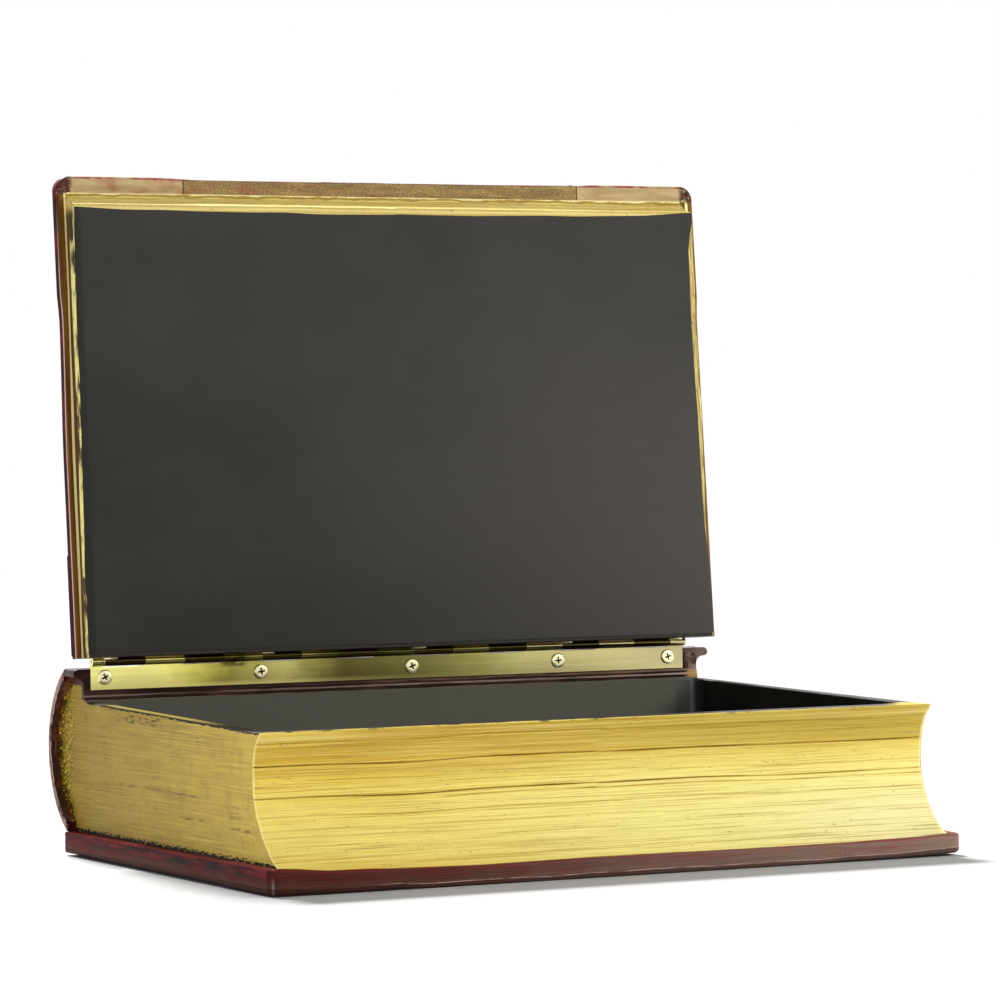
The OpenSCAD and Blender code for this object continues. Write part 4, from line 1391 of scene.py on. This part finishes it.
class BOOKBOX_OT_lid_cover(Step, bpy.types.Operator):
    """Build the lid's board, its leather corners and the strip of spine leather"""
    bl_idname = "bookbox.lid_cover"
    bl_label = "Lid cover"

    def execute(self, context):
        z0, z1, y0, y1 = lid_levels()
        wide, shift = HALF + size("lid_square"), size("lid_shift")
        lo, hi = np.array([-wide, y0, z0]), np.array([wide, y1, z1])
        self.board(lo, hi, shift)
        leather = lid_leather("lid corner leather", z0)
        for s, side in SIDES:
            p, faces = corner_skin(lo, hi, size("lid_corner"), size("board_edge"),
                                   size("lid_front"), size("lid_square"), -1,
                                   size("patch_leg") + LID_SEAM, 10)
            own = np.abs(p[:, 0])
            p[:, 0] *= -s
            p[:, 0] += lid_taper(p) - shift
            piece("lid_" + side + "_corner", p, faces, leather, "lid", "patch_leather",
                  ["lid_corner_" + side], own=own)
        rear = AXIS_Y - 2.0
        front = rear - size("spine_strip")
        p, faces = slab((-wide, front, z1), (wide, rear, z1 + size("leather")), (3, 1.5, 0.25), 0.24)
        p[:, 1] += fall(p[:, 1] - front, 0, 2) * 0.3 * wave(p[:, 0], 0, 9, 1, 77)
        p[:, 0] -= shift
        piece("lid_spine_strip", p, faces, spine_leather(), "lid", "patch_leather",
              ["lid_spine_leather"])
        return {"FINISHED"}

    def board(self, lo, hi, shift):
        """A softened slab with rounded front corners: its outer face is a little uneven, and
        its front edge is worn back between the leather corners, with two knobs left."""
        p, faces = slab(lo, hi, (2.4, 2.4, 0.8), size("board_edge"), (1, 1, 1, 0, 1, 1))
        p = round_corners(p, lo, hi, size("lid_corner"))
        x, y, z = p.T
        own = np.abs(x)
        ahead = y - lo[1]
        field = ramp(hi[0] - own, 1.5, 4) * ramp(ahead, 1.5, 4)
        uneven = 0.16 * wave(x, y, 14, 11, 71) + 0.1 * wave(x, y, 4, 3, 73)
        z = z - (z > hi[2] - 0.05) * field * (0.14 + 0.5 * uneven)
        joint = hi[0] - size("patch_leg") - LID_SEAM
        bare = fall(own, joint - 1.5, joint - 0.3)
        knobs = np.exp(-((own - joint + 1.8) / 1.3) ** 2) + np.exp(-((x + 24) / 1.6) ** 2)
        worn = bare * (0.5 + 0.12 * wave(x, 0, 30, 1, 75) + 0.2 * np.minimum(knobs, 1))
        y = y + fall(ahead, 0, 1.5) * (0.25 - worn)
        y = y + 0.35 * fall(y - lo[1], 0, 4) * fall(x, 40, 110)
        x = x + lid_taper(np.column_stack([x, y])) - shift
        piece("lid_cover_board", np.column_stack([x, y, z]), faces,
              lid_leather("marbled lid leather", lo[2]), "lid", "burgundy_board", ["lid_board"],
              sharp=45, own=own)


class BOOKBOX_OT_lid_pages(Step, bpy.types.Operator):
    """Build the gilt pages under the lid's board and their dark lining"""
    bl_idname = "bookbox.lid_pages"
    bl_label = "Lid pages"

    def execute(self, context):
        z0, _, _, rear = lid_levels()
        self.pages(z0, page_front(), rear, size("lid_shift"))
        self.lining(page_front(), rear, size("lid_shift"))
        return {"FINISHED"}

    def pages(self, board_z, inner, rear, shift):
        """A softened box in (x, v, w), with w from the underside to the board. Its front is
        bent to the hollow flare and sunk by page lines, and its left end leans out."""
        radius, deep, out, curl = 0.5, 10.0, size("lid_flare"), 0.94
        lo, hi = np.array([-HALF, inner, 0.0]), np.array([HALF, rear, deep])
        grid, faces = lattice(stations(-HALF, HALF, 1.6, radius), stations(inner, rear, 2.2, radius),
                              stations(0, deep, 0.32, radius))
        x, v, w = soften(grid, lo, hi, radius, (1, 1, 1, 0, 1, 0)).T
        share = w / deep
        bow = (1 - np.sqrt(1 - (curl * share) ** 2)) / (1 - math.sqrt(1 - curl ** 2))
        lines = 0.32 * (0.6 + 0.4 * wave(x, share, 50, 0.055, 81)
                        + 0.4 * wave(x, share, 70, 0.16, 83))
        y = (v - fall(v - inner, 0, 4) * out * (0.45 * share + 0.55 * bow)
             + fall(v - inner, 0, 0.8) * lines)
        under = lid_under(np.maximum(y, inner))
        z = under + share * (board_z - 0.03 - under)
        ridge = 0.35 * (0.6 + 0.5 * wave(y, z, 40, 1.0, 85) + 0.4 * wave(y, z, 25, 2.4, 87))
        for s, _ in SIDES:
            x = x - s * at_end(x, s, 0.6) * ridge
        own = np.abs(x)
        lean = lid_lean((y - inner) / (rear - inner))
        x = x - at_end(x, -1, 6) * (lean + 0.9 - 0.5 * share)
        x = x - at_end(x, 1, 8) * lid_inset(y - inner)
        y = y + 0.5 * fall(y - inner, -1, 2)
        piece("lid_gilt_pages", np.column_stack([x - shift, y, z]), faces,
              lid_gilt(board_z, inner - out), "lid", "gilt_pages", ["lid_page_layer"], own=own)

    def lining(self, inner, rear, shift):
        """A thin softened slab that follows the sloping underside, with uneven edges. gilt is
        the margin that shows beside it on the right, from the front back."""
        margin = size("margin")
        lo = np.array([-HALF + 0.15, inner + size("front_margin"), 0.0])
        hi = np.array([HALF - margin, rear - margin, size("lining")])
        p, faces = slab(lo, hi, (2.6, 1.6, 0.3), 0.25)
        x, y, z = p.T
        y = y + fall(y - lo[1], 0, 6) * (0.3 * wave(x, 0, 16, 1, 91) - 1.1
                                         + 1.5 * (1 - (x / HALF) ** 4) - 0.7 * ramp(x, 100, 130))
        lean = lid_lean((y - lo[1]) / (hi[1] - lo[1]))
        x = x + fall(x - lo[0], 0, 5) * (0.1 * wave(y, 0, 14, 1, 93) - 0.75 - lean)
        gilt = np.interp(y - inner, (0, 6, 9, 16, 33, 50, 71, 92, 113, 126, 140),
                         (0.1, 0.3, 1.2, 2.2, 2.5, 2.5, 2.0, 1.6, 1.5, 0.9, 0.1))
        x = x - fall(hi[0] - x, 0, 5) * (
            gilt + lid_inset(y - inner) - margin + 0.1 * wave(y, 0, 14, 1, 95))
        piece("lid_panel", np.column_stack([x - shift, y, lid_under(y) + z - 0.06]), faces,
              lining_paint(), "lid", "lining_board", ["lid_lining"])


LAMPS = (   # name, place in metres, width of an area lamp or 0 for a sun, strength
    ("key", (0.62, -0.75, 0.6), 0.55, 9.2), ("backlight", (0.03, 1.0, 1.25), 0, 10.2))
SUN_ANGLE = math.radians(9)
WORLD_LIGHT = 0.5
FLOOR_GLOW = 0.01
FLOOR_HALF = 4.0                   # metres
VIEW_ANGLES = (25.68, -0.22, -0.96)        # degrees: yaw, pitch and roll of the camera
VIEW_PLACE = (-683.32, -1422.32, 138.01)   # millimetres
LENS = 153.0


class BOOKBOX_OT_stage(Step, bpy.types.Operator):
    """Set the floor, the lamps and the camera"""
    bl_idname = "bookbox.stage"
    bl_label = "Stage"

    def execute(self, context):
        scene = context.scene
        scene.view_settings.view_transform = "Standard"
        self.floor(scene)
        self.world(scene)
        for name, place, wide, power in LAMPS:
            light = bpy.data.lights.new(name, "AREA" if wide else "SUN")
            light.energy = power
            if wide:
                light.size = wide
            else:
                light.angle = SUN_ANGLE
            lamp = bpy.data.objects.new(name, light)
            lamp.location = place
            lamp.rotation_euler = (Vector((0, 0, 0.08)) - Vector(place)).to_track_quat(
                "-Z", "Y").to_euler()
            scene.collection.objects.link(lamp)
        self.camera(scene)
        return {"FINISHED"}

    def floor(self, scene):
        """A wide floor: white, with the object's soft shadow on it."""
        line = np.linspace(-FLOOR_HALF, FLOOR_HALF, 9)
        x, y = np.meshgrid(line, line + 1.5, indexing="ij")
        mesh = bpy.data.meshes.new("floor")
        mesh.from_pydata(np.stack([x, y, 0 * x], axis=-1).reshape(-1, 3).tolist(), [],
                         quads(np.arange(x.size).reshape(x.shape)).tolist())
        made = bpy.data.materials.new("white paper floor")
        made.use_nodes = True
        tree = made.node_tree
        tree.nodes.clear()
        paper = add(tree, "ShaderNodeBsdfDiffuse", {0: "#b8b8b8"})
        shown = add(tree, "ShaderNodeBsdfDiffuse", {0: "#a2a2a2"})
        glow = add(tree, "ShaderNodeEmission", {0: tint("floor"), 1: FLOOR_GLOW})
        seen = add(tree, "ShaderNodeLightPath").output("Is Camera Ray")
        shader = add(tree, "ShaderNodeMixShader", {
            0: seen, 1: paper, 2: add(tree, "ShaderNodeAddShader", {0: shown, 1: glow})})
        add(tree, "ShaderNodeOutputMaterial", {"Surface": shader})
        mesh.materials.append(made)
        obj = bpy.data.objects.new("floor", mesh)
        scene.collection.objects.link(obj)

    def world(self, scene):
        """White to the camera and in reflections, a soft even light for the rest."""
        world = bpy.data.worlds.new("studio")
        scene.world = world
        world.use_nodes = True
        tree = world.node_tree
        tree.nodes.clear()
        path = add(tree, "ShaderNodeLightPath")
        direct = either(path.output("Is Camera Ray"), either(
            path.output("Is Glossy Ray"), path.output("Is Transmission Ray")))
        back = add(tree, "ShaderNodeBackground", {
            0: tint("floor"), 1: blend(direct, WORLD_LIGHT, 1.0)})
        add(tree, "ShaderNodeOutputWorld", {"Surface": back})

    def camera(self, scene):
        """The photograph's viewpoint, from its fitted angles."""
        yaw, pitch, roll = (math.radians(angle) for angle in VIEW_ANGLES)
        forward = Vector((math.sin(yaw) * math.cos(pitch), math.cos(yaw) * math.cos(pitch),
                          math.sin(pitch)))
        side = forward.cross(Vector((0, 0, 1))).normalized()
        up = side.cross(forward)
        right = math.cos(roll) * side + math.sin(roll) * up
        over = -math.sin(roll) * side + math.cos(roll) * up
        data = bpy.data.cameras.new("camera")
        data.sensor_width = 36.0
        data.lens = LENS
        data.clip_end = 50
        camera = bpy.data.objects.new("camera", data)
        turn = Matrix((right, over, -forward)).transposed().to_4x4()
        camera.matrix_world = Matrix.Translation(Vector(VIEW_PLACE) * MM) @ turn
        scene.collection.objects.link(camera)
        scene.camera = camera


class BOOKBOX_PT_panel(bpy.types.Panel):
    """Sizes, colours and steps of the book box"""
    bl_idname = "BOOKBOX_PT_panel"
    bl_label = "Book Box"
    bl_space_type = "VIEW_3D"
    bl_region_type = "UI"
    bl_category = "Book Box"

    def draw(self, context):
        for group in (context.scene.book_box_sizes, context.scene.book_box_colours):
            box = self.layout.box()
            for name in group.__annotations__:
                box.prop(group, name)
        for step in STEPS:
            self.layout.operator(step.bl_idname)


STEPS = (BOOKBOX_OT_stage, BOOKBOX_OT_base, BOOKBOX_OT_pages, BOOKBOX_OT_spine,
         BOOKBOX_OT_hinge_wall, BOOKBOX_OT_cavity, BOOKBOX_OT_hinge, BOOKBOX_OT_screws,
         BOOKBOX_OT_lid_cover, BOOKBOX_OT_lid_pages)
CLASSES = (BookBoxSizes, BookBoxColours, *STEPS, BOOKBOX_PT_panel)


def register():
    for cls in CLASSES:
        bpy.utils.register_class(cls)
    bpy.types.Scene.book_box_sizes = bpy.props.PointerProperty(type=BookBoxSizes)
    bpy.types.Scene.book_box_colours = bpy.props.PointerProperty(type=BookBoxColours)


def unregister():
    del bpy.types.Scene.book_box_colours
    del bpy.types.Scene.book_box_sizes
    for cls in reversed(CLASSES):
        bpy.utils.unregister_class(cls)


def main():
    register()
    for step in STEPS:
        group, name = step.bl_idname.split(".")
        getattr(getattr(bpy.ops, group), name)()


if __name__ == "__main__":
    main()
